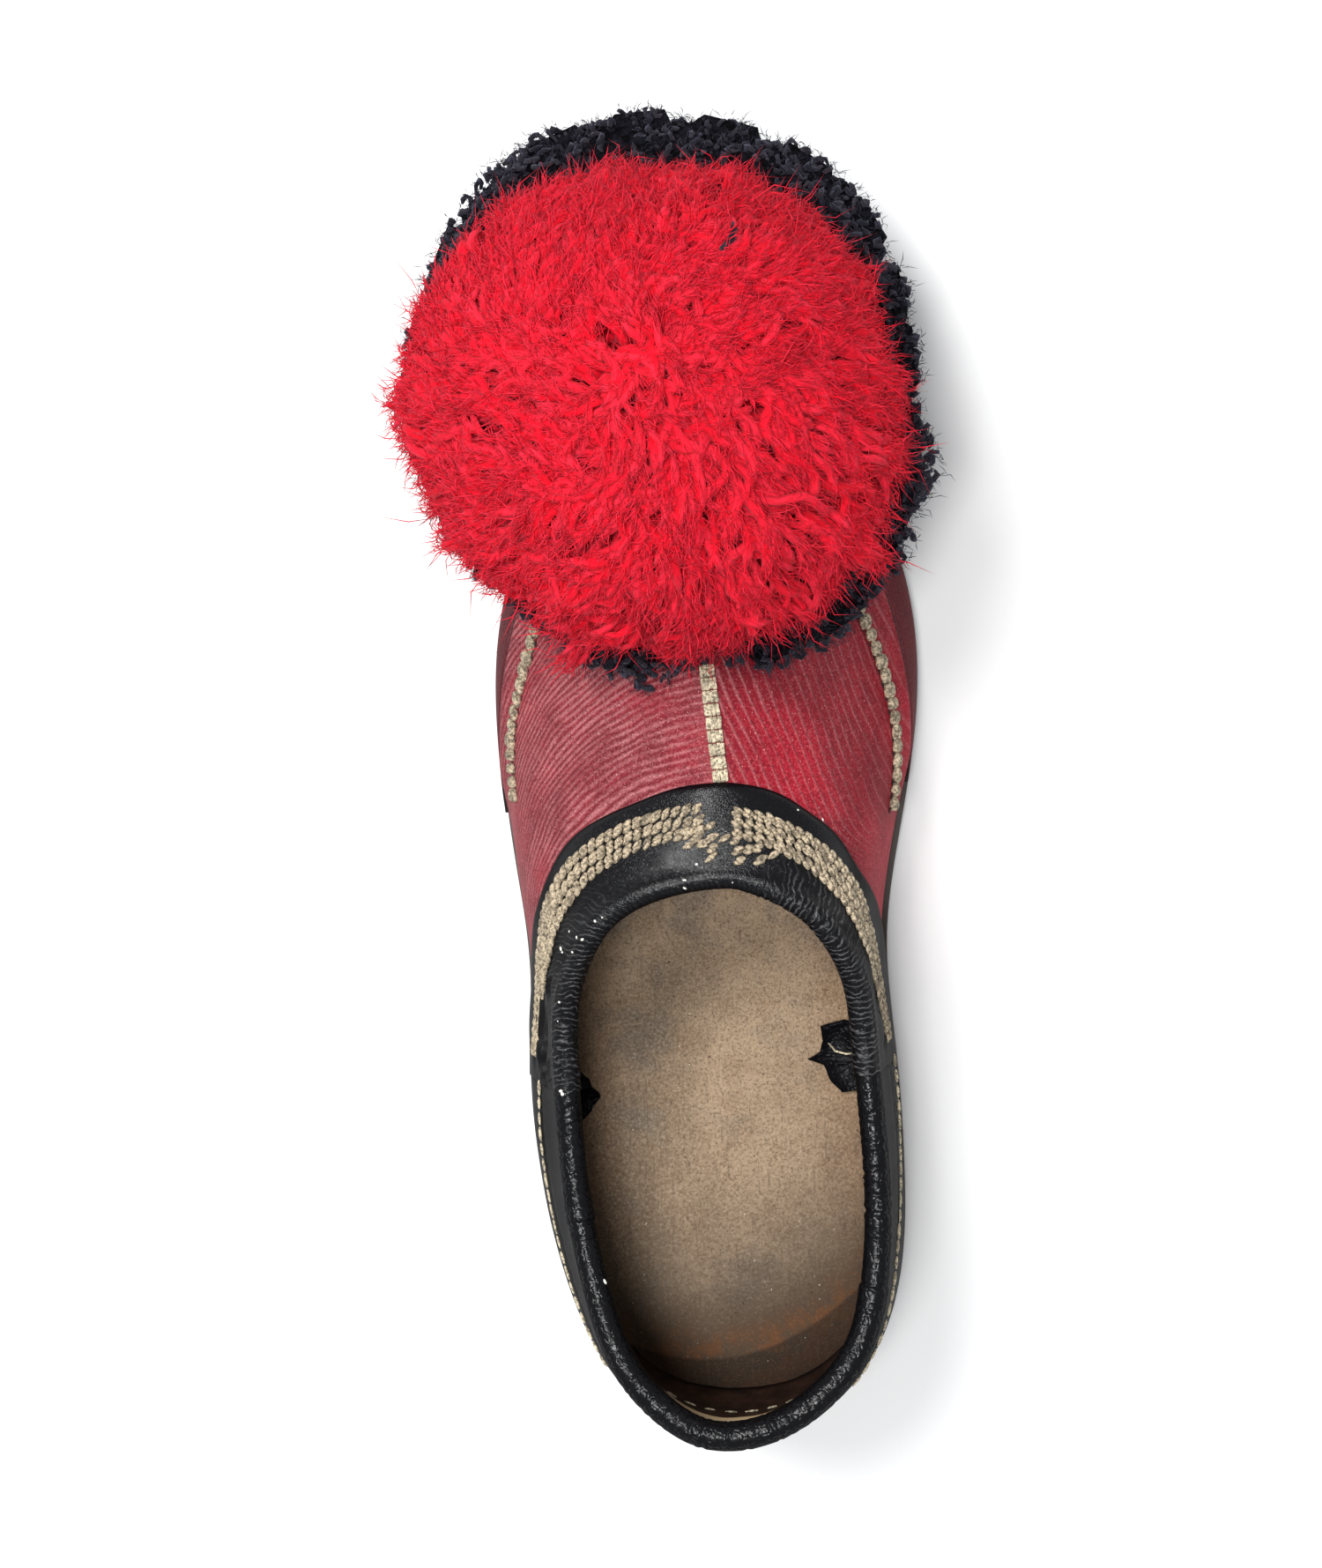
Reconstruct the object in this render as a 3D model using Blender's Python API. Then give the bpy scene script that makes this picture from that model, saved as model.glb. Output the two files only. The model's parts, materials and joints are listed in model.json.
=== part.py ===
"""Left tsarouhi shoe: a leather clog with a turned-up toe, a stitched collar and a wool pompom on the toe.

Every table and size is in millimetres and MM turns them into Blender's metres. While the pieces are made,
+Y points to the toe, +X to the inner side of the foot, and the floor is at zero. The last lines move the
whole shoe so that the origin is on the floor, under the middle of its box.
"""

import math

import bmesh
import bpy
import numpy as np
from mathutils import Matrix, Vector

MM = 0.001
GAP = 0.3  # between pieces that touch

# Sole, heel and insole
SOLE = 6.0
HEEL_LIFT = 7.0
HEEL_BREAST = 68.0  # from the back of the heel
ARCH_END = 124.0
SPRING_START = 188.0
TOE_TIP = 266.0
TOE_SPRING = 36.0
SPRING_POWER = 2.2
SOLE_EDGE = 1.5  # how far the sole stands out from the wall
LIFT_TAPER = 0.8
INSOLE = 2.2
INSOLE_EASE = 0.9  # round the insole, inside the wall
INSOLE_END = 238.0  # it stops short of the curled tip
PLATE_STEP = 6.0  # between the lines across a curved plate
FLAT_PLATE_STEP = 30.0

# Leather thicknesses
WALL = 2.5
RAND = 1.2
FACING = 1.1
NO_RAND = 2.0  # the rand's height where it has run out
LEAST_RAND = 1.5
LEAST_VAMP = 2.0  # left between the rand and the bands
LAP_RAMP = 6.0  # of more rand, over which the lap above it comes to its full height
LAP_RUN = 11.0  # over which the lapped vamp sinks back to the lining
BINDING_RADIUS = 2.75
BINDING_FULLER_AT_HEEL = 0.9

# Seams
CENTRE_SEAM_WIDTH = 4.0
CENTRE_SEAM_HEIGHT = 0.9
CENTRE_SEAM_START = 18.0  # from the rim, along the ridge
CENTRE_SEAM_END = 40.0
SIDE_SEAM_WIDTH = 2.4
SIDE_SEAM_HEIGHT = 1.2
SIDE_SEAM_FROM_EDGE = (9.0, 14.5)  # at its back and front ends, up the wall from the rand's edge

# Loose tabs inside the waist: thickness, and corners seen from above
TAB = 1.2
TABS = {
    "tab_lateral": ((-41.5, 73.5), (-34.5, 72.5), (-31.0, 78.5), (-35.0, 84.5), (-41.5, 83.5)),
    "tab_medial": ((35.5, 76.5), (35.5, 91.0), (22.5, 92.0), (20.8, 84.5), (25.5, 76.8)),
}

# Pompom
POMPOM_CENTRE = (-1.0, 235.0, 65.0)
POMPOM_TILT = 6.0  # degrees, forwards
RED_HEIGHT = 36.0
RED_LOCK = 6.5
BLACK_DEPTH = 31.0
BALL_TURN = 24.0  # degrees, which sets the locks askew
FLATTENED = 0.22  # of the height, that the ball's middle lies beyond the flat joint
BLACK_SHIFT = (-2.0, 3.0)
BLACK_LOBE = 4.5
CLEAR_OF_JOINT = 4.0  # locks start this far from the flat joint between the two wools

# The pompom's outline from above: radius at each direction, counted from the inner side of the foot
POMPOM_COLUMNS = ("direction", "red", "black")
POMPOM_OUTLINE = (
    (0, 53.5, 59.5),
    (45, 57.0, 68.0),
    (90, 55.5, 69.5),
    (135, 57.5, 67.0),
    (180, 56.5, 56.0),
    (225, 52.3, 54.0),
    (270, 56.7, 63.5),
    (315, 58.5, 66.5),
)

# The origin, in the making coordinates above
ORIGIN = (-1.8, 151.9)

# The last, round the shoe from the back of the heel by the outer side to the toe and back by the inner side.
# foot: where the wall meets the sole. rim: the wall's top edge, at the collar. rise and lean: how the wall
# leaves the sole. reach and drop: how it comes up to the rim. rand: height of the toe strip, up the wall.
# facing and back: width of the front and back collar bands, down from the rim.
STATION_COLUMNS = ("foot_x", "foot_y", "rim_x", "rim_y", "rim_z", "rise", "lean", "reach", "drop",
                   "rand", "facing", "back")
STATIONS = {
    "heel": (-1.0, 0.0, -0.5, 4.6, 65.0, 15.0, 2.5, 3.0, 15.0, 2.0, 40.0, 20.0),
    "heel_outer": (-16.5, 2.5, -12.4, 8.4, 64.4, 15.0, 1.5, 3.0, 15.0, 2.0, 40.0, 20.0),
    "turn_outer": (-29.3, 11.2, -23.6, 19.6, 62.2, 15.0, 0.3, 3.5, 14.0, 2.0, 40.0, 19.0),
    "counter_outer": (-38.6, 28.5, -30.4, 36.5, 58.6, 14.0, -0.3, 4.0, 13.0, 2.0, 40.0, 18.0),
    "breast_outer": (-44.6, 56.0, -34.6, 59.5, 55.1, 14.0, -0.5, 4.0, 12.0, 2.0, 40.0, 17.0),
    "waist_outer": (-46.6, 84.0, -35.6, 84.0, 54.2, 14.0, -0.4, 4.0, 12.0, 2.0, 42.0, 17.0),
    "throat_outer": (-46.6, 108.0, -33.8, 104.0, 60.0, 13.0, 0.5, 5.0, 14.0, 2.0, 32.0, 17.0),
    "instep_outer": (-48.8, 134.0, -28.2, 118.9, 68.6, 11.0, 1.0, 15.0, 13.0, 2.0, 19.5, 17.0),
    "ball_outer": (-50.8, 162.0, -20.6, 127.2, 72.0, 10.0, 0.8, 24.0, 14.0, 8.0, 19.0, 17.0),
    "vamp_outer": (-49.6, 190.0, -12.4, 131.2, 73.6, 10.0, -0.5, 32.0, 14.0, 14.5, 18.5, 17.0),
    "side_outer": (-40.0, 219.0, -5.4, 133.1, 74.3, 10.0, -0.5, 38.0, 11.0, 14.0, 17.5, 17.0),
    "point_outer": (-24.0, 243.5, 0.2, 133.9, 74.6, 11.0, 0.0, 44.0, 6.0, 12.0, 17.5, 17.0),
    "corner_outer": (-8.0, 260.0, 3.9, 134.1, 74.7, 12.0, 0.0, 47.0, 3.5, 11.0, 17.5, 17.0),
    "toe": (1.5, 265.0, 6.2, 134.1, 74.7, 12.0, 0.0, 48.0, 3.0, 11.0, 17.5, 17.0),
    "corner_inner": (11.0, 260.0, 8.5, 134.0, 74.7, 12.0, 0.0, 47.0, 3.5, 11.0, 17.5, 17.0),
    "point_inner": (26.0, 244.0, 11.6, 133.4, 74.6, 11.0, 0.0, 44.0, 6.0, 13.0, 17.5, 17.0),
    "side_inner": (42.0, 220.0, 15.8, 132.0, 74.3, 10.0, -0.5, 38.0, 11.0, 16.0, 17.5, 17.0),
    "vamp_inner": (50.0, 191.0, 20.8, 129.6, 73.6, 10.0, -0.5, 32.0, 14.0, 17.0, 16.5, 17.0),
    "ball_inner": (49.0, 163.0, 26.2, 125.8, 71.6, 10.0, 0.8, 22.0, 14.0, 9.0, 16.0, 17.0),
    "instep_inner": (43.2, 136.0, 31.6, 119.0, 68.0, 12.0, 1.0, 12.0, 13.0, 2.0, 18.5, 17.0),
    "throat_inner": (38.6, 110.0, 35.7, 105.0, 60.0, 13.0, 1.0, 3.0, 14.0, 2.0, 38.0, 17.0),
    "waist_inner": (39.4, 84.0, 36.6, 84.0, 54.2, 14.0, 0.5, 1.5, 12.0, 2.0, 44.0, 17.0),
    "breast_inner": (39.6, 57.0, 37.0, 59.5, 55.1, 14.0, 0.5, 1.5, 12.0, 2.0, 40.0, 17.0),
    "counter_inner": (36.4, 29.0, 34.4, 35.0, 58.8, 14.0, 0.8, 2.0, 13.0, 2.0, 40.0, 18.0),
    "turn_inner": (27.2, 11.0, 27.2, 18.6, 62.2, 15.0, 1.2, 3.0, 14.0, 2.0, 40.0, 19.0),
    "heel_inner": (14.5, 2.5, 13.8, 8.0, 64.4, 15.0, 2.2, 3.0, 15.0, 2.0, 40.0, 20.0),
}
PLACE = {name: index for index, name in enumerate(STATIONS)}
STEPS_PER_STATION = 3
LOW_STEPS, MIDDLE_STEPS, TOP_STEPS = 2, 5, 2
JOINT_HALF_WIDTH = 0.012  # of a station, where the front and back bands meet
JOINT_OUTER = PLACE["waist_outer"]
JOINT_INNER = PLACE["waist_inner"]
RAND_ENDS = (PLACE["instep_outer"] + 0.5, PLACE["instep_inner"] - 0.5)

# Colours from the photo: red, green, blue, roughness
FINISHES = {
    "red_leather": (0.30, 0.045, 0.065, 0.55),
    "black_leather": (0.020, 0.020, 0.023, 0.35),
    "sole_leather": (0.045, 0.035, 0.030, 0.60),
    "insole_board": (0.210, 0.145, 0.090, 0.85),
    "thread": (0.540, 0.400, 0.240, 0.80),
    "red_wool": (0.720, 0.015, 0.035, 0.90),
    "black_wool": (0.012, 0.012, 0.018, 0.95),
}


def smooth(x):
    """0 below 0, 1 above 1, and an S-curve between."""
    x = np.clip(x, 0.0, 1.0)
    return x * x * (3.0 - 2.0 * x)


def sole_bottom(y):
    """Underside of the sole: on the heel, down the arch, flat under the ball, up to the toe."""
    heel = 2 * (HEEL_LIFT + GAP) * (1.0 - smooth((y - HEEL_BREAST) / (ARCH_END - HEEL_BREAST)))
    along_spring = np.clip((y - SPRING_START) / (TOE_TIP - SPRING_START), 0.0, 1.1)
    return heel + TOE_SPRING * along_spring**SPRING_POWER


def sole_top(y):
    return sole_bottom(y) + SOLE


def insole_bottom(y):
    return sole_top(y) + GAP


def insole_top(y):
    return insole_bottom(y) + INSOLE


def tab_bottom(y):
    return insole_top(y) + GAP


class Last:
    """The shoe's outer surface: a Bezier line at each place round the shoe, from the sole up to the collar."""

    SAMPLES = 49

    def __init__(self):
        self.rows = np.array(list(STATIONS.values()))
        feet = self.rows[:, :2]
        self.steps = np.linalg.norm(np.roll(feet, -1, axis=0) - feet, axis=1) ** 0.5
        self.bends = self.closed_spline_bends()

    def closed_spline_bends(self):
        """Second derivatives of the closed cubic spline through the stations."""
        count = len(self.rows)
        matrix = np.zeros((count, count))
        right = np.zeros_like(self.rows)
        for k in range(count):
            before, after = self.steps[k - 1], self.steps[k]
            following = (k + 1) % count
            matrix[k, k - 1] += before
            matrix[k, k] += 2 * (before + after)
            matrix[k, following] += after
            rise_after = (self.rows[following] - self.rows[k]) / after
            rise_before = (self.rows[k] - self.rows[k - 1]) / before
            right[k] = 6 * (rise_after - rise_before)
        return np.linalg.solve(matrix, right)

    def columns(self, places):
        """The station columns at any places round the shoe, counted in stations from the heel."""
        count = len(self.rows)
        whole = np.floor(places).astype(int)
        here, following = whole % count, (whole + 1) % count
        after = (places - whole)[:, None]
        before = 1.0 - after
        span = self.steps[here][:, None]
        straight = before * self.rows[here] + after * self.rows[following]
        bend = (before**3 - before) * self.bends[here] + (after**3 - after) * self.bends[following]
        values = straight + bend * span * span / 6.0
        return dict(zip(STATION_COLUMNS, values.T))

    def foot_outline(self, places, outwards=0.0):
        """The line where the wall meets the sole, in plan, moved outwards."""
        row = self.columns(places)
        feet = np.stack([row["foot_x"], row["foot_y"]], axis=1)
        return feet + outwards * self.foot_normals(places)

    def foot_normals(self, places):
        ahead, behind = self.columns(places + 0.01), self.columns(places - 0.01)
        along_x = ahead["foot_x"] - behind["foot_x"]
        along_y = ahead["foot_y"] - behind["foot_y"]
        normals = np.stack([-along_y, along_x], axis=1)
        return normals / np.linalg.norm(normals, axis=1, keepdims=True)

    def controls(self, places):
        """The four Bezier points of each line."""
        row = self.columns(places)
        up = np.array([0.0, 0.0, 1.0])
        out = np.pad(self.foot_normals(places), ((0, 0), (0, 1)))
        foot = np.stack([row["foot_x"], row["foot_y"], sole_top(row["foot_y"]) + GAP], axis=1)
        rim = np.stack([row["rim_x"], row["rim_y"], row["rim_z"]], axis=1)
        level = (foot - rim) * (1.0, 1.0, 0.0)
        level /= np.linalg.norm(level, axis=1, keepdims=True)
        first = foot + row["rise"][:, None] * up + row["lean"][:, None] * out
        second = rim + row["reach"][:, None] * level - row["drop"][:, None] * up
        return foot, first, second, rim

    def bezier(self, places, along):
        """Points at the Bezier parameters, an array with a row for each place."""
        one, two, three, four = (point[:, None, :] for point in self.controls(places))
        t = along[:, :, None]
        u = 1.0 - t
        return u**3 * one + 3 * u * u * t * two + 3 * u * t * t * three + t**3 * four

    def parameters(self, places, heights):
        """Bezier parameters where the wall's length from the sole is the given part of the whole."""
        even = np.linspace(0.0, 1.0, self.SAMPLES)
        points = self.bezier(places, np.broadcast_to(even, (len(places), self.SAMPLES)))
        pieces = np.linalg.norm(np.diff(points, axis=1), axis=2)
        reached = np.pad(np.cumsum(pieces, axis=1), ((0, 0), (1, 0)))
        reached /= reached[:, -1:]
        return np.array([np.interp(wanted, have, even) for wanted, have in zip(heights, reached)])

    def lengths(self, places):
        """Length of the wall from the sole to the rim."""
        even = np.linspace(0.0, 1.0, self.SAMPLES)
        points = self.bezier(places, np.broadcast_to(even, (len(places), self.SAMPLES)))
        return np.linalg.norm(np.diff(points, axis=1), axis=2).sum(axis=1)

    def normals(self, places, along):
        """Unit normals out of the shoe, level at the sole so that the wall stands flat on it."""
        step = 0.02
        sides = self.bezier(places + step, along) - self.bezier(places - step, along)
        upper = np.clip(along + step, 0.0, 1.0)
        lower = np.clip(along - step, 0.0, 1.0)
        normals = np.cross(self.bezier(places, upper) - self.bezier(places, lower), sides)
        normals[:, :, 2] *= np.clip(along / 0.12, 0.0, 1.0)
        return normals / np.linalg.norm(normals, axis=2, keepdims=True)

    def rim_direction(self, places):
        """Unit direction in which the wall arrives at the rim."""
        _, _, second, rim = self.controls(places)
        along = rim - second
        return along / np.linalg.norm(along, axis=1, keepdims=True)


LAST = Last()


def round_shoe(first, last, steps=STEPS_PER_STATION):
    """Even places from one station to another, or all round the shoe when last is a whole turn away."""
    return np.linspace(first, last, round((last - first) * steps) + 1)


def wall_places():
    """All the places where the wall is drawn, with a close pair at each joint of the collar bands."""
    turn = round_shoe(0, len(STATIONS))[:-1]
    keep = [place for place in turn if place not in (JOINT_OUTER, JOINT_INNER)]
    pairs = [joint + side for joint in (JOINT_OUTER, JOINT_INNER)
             for side in (-JOINT_HALF_WIDTH, JOINT_HALF_WIDTH)]
    return np.array(sorted(keep + pairs))


def in_front(places):
    return (places > JOINT_OUTER) & (places < JOINT_INNER)


def lines(places):
    """Heights of the rand's edge and of the collar bands' lower edge, as parts of the wall's length."""
    row = LAST.columns(places)
    length = LAST.lengths(places)
    low = np.clip(row["rand"], LEAST_RAND, None) / length
    band = np.where(in_front(places), row["facing"], row["back"])
    lowest_band = low + LEAST_VAMP / length
    return low, np.maximum(1.0 - band / length, lowest_band)


def wall_heights(places):
    """Heights of the wall's grid lines at each place, so that every overlay shares them."""
    low, band = lines(places)
    step = 0.2 / LAST.lengths(places)
    below = [low * k / LOW_STEPS for k in range(LOW_STEPS + 1)]
    middle = [low + step + (band - low - step) * (k / MIDDLE_STEPS) ** 1.2 for k in range(MIDDLE_STEPS)]
    top = [band + (1.0 - band) * k / TOP_STEPS for k in range(TOP_STEPS + 1)]
    return np.stack(below + middle + top, axis=1)


def lap_height(places, heights):
    """How far the vamp's lapped edge stands out: full above the rand's edge, then down to nothing."""
    row = LAST.columns(places)
    full = (GAP + RAND) * smooth((row["rand"] - NO_RAND) / LAP_RAMP)
    low, _ = lines(places)
    beyond = (heights - low[:, None]) * LAST.lengths(places)[:, None]
    return np.where(beyond > 0.1, full[:, None] * (1.0 - smooth(beyond / LAP_RUN)), 0.0)


def skin(places, heights, offset):
    """Points at an offset out from the last."""
    along = LAST.parameters(places, heights)
    offset = np.broadcast_to(offset, along.shape)
    return LAST.bezier(places, along) + offset[:, :, None] * LAST.normals(places, along)


def seated(grid):
    """The grid with its first column set down on the sole."""
    grid[:, 0, 2] = sole_top(grid[:, 0, 1]) + GAP
    return grid


def clear_scene():
    for item in list(bpy.data.objects):
        bpy.data.objects.remove(item, do_unlink=True)


def make_finish(name):
    red, green, blue, roughness = FINISHES[name]
    finish = bpy.data.materials.new(name)
    finish.use_nodes = True
    shader = finish.node_tree.nodes["Principled BSDF"]
    shader.inputs["Base Color"].default_value = (red, green, blue, 1.0)
    shader.inputs["Roughness"].default_value = roughness
    shader.inputs["Metallic"].default_value = 0.0
    finish.diffuse_color = (red, green, blue, 1.0)
    return finish


def new_collection(name, hidden=False):
    collection = bpy.data.collections.new(name)
    collection.hide_render = hidden
    bpy.context.scene.collection.children.link(collection)
    return collection


def add_object(name, mesh_or_bmesh, collection, finish=None):
    """A bmesh or mesh as a named object, smooth shaded, with one material."""
    mesh = mesh_or_bmesh
    if isinstance(mesh, bmesh.types.BMesh):
        mesh = bpy.data.meshes.new(name)
        bmesh.ops.recalc_face_normals(mesh_or_bmesh, faces=mesh_or_bmesh.faces[:])
        if mesh_or_bmesh.calc_volume(signed=True) < 0.0:
            bmesh.ops.reverse_faces(mesh_or_bmesh, faces=mesh_or_bmesh.faces[:])
        mesh_or_bmesh.to_mesh(mesh)
        mesh_or_bmesh.free()
    mesh.shade_smooth()
    if finish:
        mesh.materials.append(bpy.data.materials[finish])
    made = bpy.data.objects.new(name, mesh)
    collection.objects.link(made)
    return made


def add_cutter(name, form, collection):
    cutter = add_object(name, form, collection)
    cutter.hide_render = True
    cutter.display_type = "WIRE"
    return cutter


def shell(outer, inner, closed):
    """A closed solid between two like grids of points: a ring round the shoe, or a strip with ends."""
    form = bmesh.new()
    skins = [[[form.verts.new(point * MM) for point in row] for row in grid] for grid in (outer, inner)]
    rows, columns = outer.shape[:2]
    for i in range(rows if closed else rows - 1):
        after = (i + 1) % rows
        for grid in skins:
            for j in range(columns - 1):
                form.faces.new((grid[i][j], grid[after][j], grid[after][j + 1], grid[i][j + 1]))
        for j in (0, columns - 1):
            form.faces.new((skins[0][i][j], skins[0][after][j], skins[1][after][j], skins[1][i][j]))
    if not closed:
        for i in (0, rows - 1):
            for j in range(columns - 1):
                form.faces.new((skins[0][i][j], skins[0][i][j + 1], skins[1][i][j + 1], skins[1][i][j]))
    return form


def slab(outline, bottom, top, spacing, end=None):
    """A plate of the outline, crossed by lines at the spacing, between two height functions of y."""
    form = bmesh.new()
    form.faces.new([form.verts.new((x * MM, y * MM, 0.0)) for x, y in outline])
    for y in np.arange(min(outline[:, 1]) + spacing, max(outline[:, 1]), spacing):
        bmesh.ops.bisect_plane(form, geom=form.verts[:] + form.edges[:] + form.faces[:],
                               plane_co=(0.0, y * MM, 0.0), plane_no=(0.0, 1.0, 0.0))
    if end is not None:
        bmesh.ops.bisect_plane(form, geom=form.verts[:] + form.edges[:] + form.faces[:],
                               plane_co=(0.0, end * MM, 0.0), plane_no=(0.0, 1.0, 0.0), clear_outer=True)
    raised = bmesh.ops.extrude_face_region(form, geom=form.faces[:])["geom"]
    raised = {item for item in raised if isinstance(item, bmesh.types.BMVert)}
    for vert in form.verts:
        height = top if vert in raised else bottom
        vert.co.z = float(height(vert.co.y / MM)) * MM
    return form


def whole_outline(outwards):
    return LAST.foot_outline(round_shoe(0, len(STATIONS))[:-1], outwards)


def make_outsole(parts):
    form = slab(whole_outline(SOLE_EDGE), sole_bottom, sole_top, PLATE_STEP)
    add_object("outsole", form, parts, "sole_leather")


def make_heel(parts):
    for level, name in enumerate(("heel_top_piece", "heel_lift")):
        low = level * (HEEL_LIFT + GAP)
        outline = whole_outline(SOLE_EDGE - LIFT_TAPER * (2 - level))
        form = slab(outline, lambda y: low, lambda y: low + HEEL_LIFT, FLAT_PLATE_STEP, HEEL_BREAST)
        add_object(name, form, parts, "sole_leather")


def make_insole(parts):
    form = slab(whole_outline(-WALL - INSOLE_EASE), insole_bottom, insole_top, PLATE_STEP, INSOLE_END)
    add_object("insole", form, parts, "insole_board")


def make_upper(parts):
    places = wall_places()
    heights = wall_heights(places)
    outer = seated(skin(places, heights, lap_height(places, heights)))
    inner = seated(skin(places, heights, -WALL))
    add_object("upper", shell(outer, inner, closed=True), parts, "red_leather")


def overlay(places, columns, thickness, trim_top=0.0):
    """A piece laid on the wall over some of its grid lines, its upper edge trimmed by a length."""
    heights = wall_heights(places)[:, columns]
    heights[:, -1] -= trim_top / LAST.lengths(places)
    outer = skin(places, heights, GAP + thickness)
    inner = skin(places, heights, GAP)
    if columns.start == 0:
        seated(outer)
        seated(inner)
    return outer, inner


def places_between(first, last):
    """The wall's own places between two others, with both ends."""
    turn = len(STATIONS)
    places = np.concatenate([wall_places() - turn, wall_places()])
    inside = places[(places > first + 1e-6) & (places < last - 1e-6)]
    return np.concatenate([[first], inside, [last]])


def make_overlays(parts):
    columns = LOW_STEPS + MIDDLE_STEPS + 1
    rand = slice(0, LOW_STEPS + 1)
    below_band = slice(0, columns + 1)
    band = slice(columns, columns + TOP_STEPS + 1)
    turn = len(STATIONS)
    gap = JOINT_HALF_WIDTH

    outer, inner = overlay(places_between(*RAND_ENDS), rand, RAND, trim_top=GAP)
    add_object("toe_rand", shell(outer, inner, closed=False), parts, "red_leather")

    behind = places_between(JOINT_INNER - turn + gap, JOINT_OUTER - gap)
    outer, inner = overlay(behind, below_band, FACING, trim_top=GAP)
    add_object("quarter", shell(outer, inner, closed=False), parts, "black_leather")
    outer, inner = overlay(behind, band, FACING)
    add_object("collar_band_back", shell(outer, inner, closed=False), parts, "black_leather")

    ahead = places_between(JOINT_OUTER + gap, JOINT_INNER - gap)
    outer, inner = overlay(ahead, band, FACING)
    add_object("collar_band_front", shell(outer, inner, closed=False), parts, "black_leather")


def make_binding(parts):
    places = wall_places()
    heights = np.ones((len(places), 1))
    rim = skin(places, heights, -WALL / 2)[:, 0]
    towards_heel = np.cos(2 * np.pi * places / len(STATIONS)) * 0.5 + 0.5
    radius = BINDING_RADIUS + BINDING_FULLER_AT_HEEL * towards_heel**2
    middle = rim + (radius + GAP)[:, None] * LAST.rim_direction(places)
    curve = bpy.data.curves.new("collar_binding", "CURVE")
    curve.dimensions = "3D"
    curve.bevel_depth = BINDING_RADIUS * MM
    curve.bevel_resolution = 2
    line = curve.splines.new("POLY")
    line.points.add(len(places) - 1)
    line.use_cyclic_u = True
    for point, place, size in zip(line.points, middle, radius):
        point.co = (*(place * MM), 1.0)
        point.radius = size / BINDING_RADIUS
    curve.materials.append(bpy.data.materials["black_leather"])
    parts.objects.link(bpy.data.objects.new("collar_binding", curve))


def strip(places, heights, half_widths, offset, height):
    """A raised bar along a line on the wall: half_widths are lengths across it, along the wall's lines."""
    length = LAST.lengths(places)
    low, top = heights - half_widths / length, heights + half_widths / length
    across = np.stack([low, heights, top], axis=1)
    return skin(places, across, offset + height), skin(places, across, offset)


def add_seam(name, places, heights, width, height, parts, cutters):
    """The seam's bar, and a larger one that keeps the wool clear of it."""
    lap = lap_height(places, heights[:, None])
    half = np.full(len(places), width / 2)
    outer, inner = strip(places, heights, half, lap + 2 * GAP, height)
    add_object(name, shell(outer, inner, closed=False), parts, "thread")
    outer, inner = strip(places, heights, half + GAP, lap - GAP, height + 4 * GAP)
    return add_cutter(name + "_clearance", shell(outer, inner, closed=False), cutters)


def make_side_seams(parts, cutters):
    spans = {
        "side_seam_lateral": (PLACE["instep_outer"] + 0.45, PLACE["vamp_outer"] + 0.4, 1),
        "side_seam_medial": (PLACE["vamp_inner"] - 0.3, PLACE["instep_inner"] - 0.35, -1),
    }
    made = []
    for name, (first, last, towards_toe) in spans.items():
        places = places_between(first, last)
        distances = np.interp(places, (first, last), SIDE_SEAM_FROM_EDGE[::towards_toe])
        low, _ = lines(places)
        heights = low + distances / LAST.lengths(places)
        made.append(add_seam(name, places, heights, SIDE_SEAM_WIDTH, SIDE_SEAM_HEIGHT, parts, cutters))
    return made


def make_centre_seam(parts):
    """The stitched strip down the ridge, from the front band to the pompom."""
    toe = PLACE["toe"]
    ridge = toe + np.array([-0.1, 0.0, 0.1])
    distances = np.linspace(CENTRE_SEAM_START, CENTRE_SEAM_END, 5)
    heights = 1.0 - distances[None, :] / LAST.lengths(ridge)[:, None]
    middle = skin(ridge, heights, 0.0)[1]
    sides = np.array([-CENTRE_SEAM_WIDTH / 2, 0.0, CENTRE_SEAM_WIDTH / 2])
    up = LAST.normals(ridge, LAST.parameters(ridge, heights))[1]
    across = np.array([1.0, 0.0, 0.0])
    base = middle[:, None, :] + sides[None, :, None] * across
    clearance = 2 * GAP * up[:, None, :]
    outer = base + clearance + CENTRE_SEAM_HEIGHT * up[:, None, :]
    add_object("centre_seam", shell(outer, base + clearance, closed=False), parts, "thread")


def make_tabs(parts):
    """Two loose leather tabs that lie on the insole at the waist."""
    for name, outline in TABS.items():
        form = slab(np.array(outline), tab_bottom, lambda y: tab_bottom(y) + TAB, PLATE_STEP)
        add_object(name, form, parts, "black_leather")


def pompom_frame():
    """Matrix from the pompom's own coordinates, its flat joint at zero height, to the shoe's."""
    x, y, z = POMPOM_CENTRE
    return Matrix.Translation((x * MM, y * MM, z * MM)) @ Matrix.Rotation(math.radians(-POMPOM_TILT), 4, "X")


def tufts(form, faces, length, narrow, lean, seed):
    """Each face drawn out into a short lock, narrower at its end and combed to one side."""
    generator = np.random.default_rng(seed)
    clear = [face for face in faces if abs(face.calc_center_median().z) > CLEAR_OF_JOINT * MM]
    drawn = bmesh.ops.extrude_discrete_faces(form, faces=clear)["faces"]
    for face in drawn:
        middle = face.calc_center_median()
        outwards = Vector(middle).normalized()
        sideways = outwards.cross(Vector((0.0, 0.0, 1.0))) * lean * generator.uniform(0.4, 1.6)
        shift = (outwards * length * generator.uniform(0.7, 1.15) + sideways) * MM
        for vert in face.verts:
            vert.co = middle + (vert.co - middle) * narrow + shift


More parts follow.
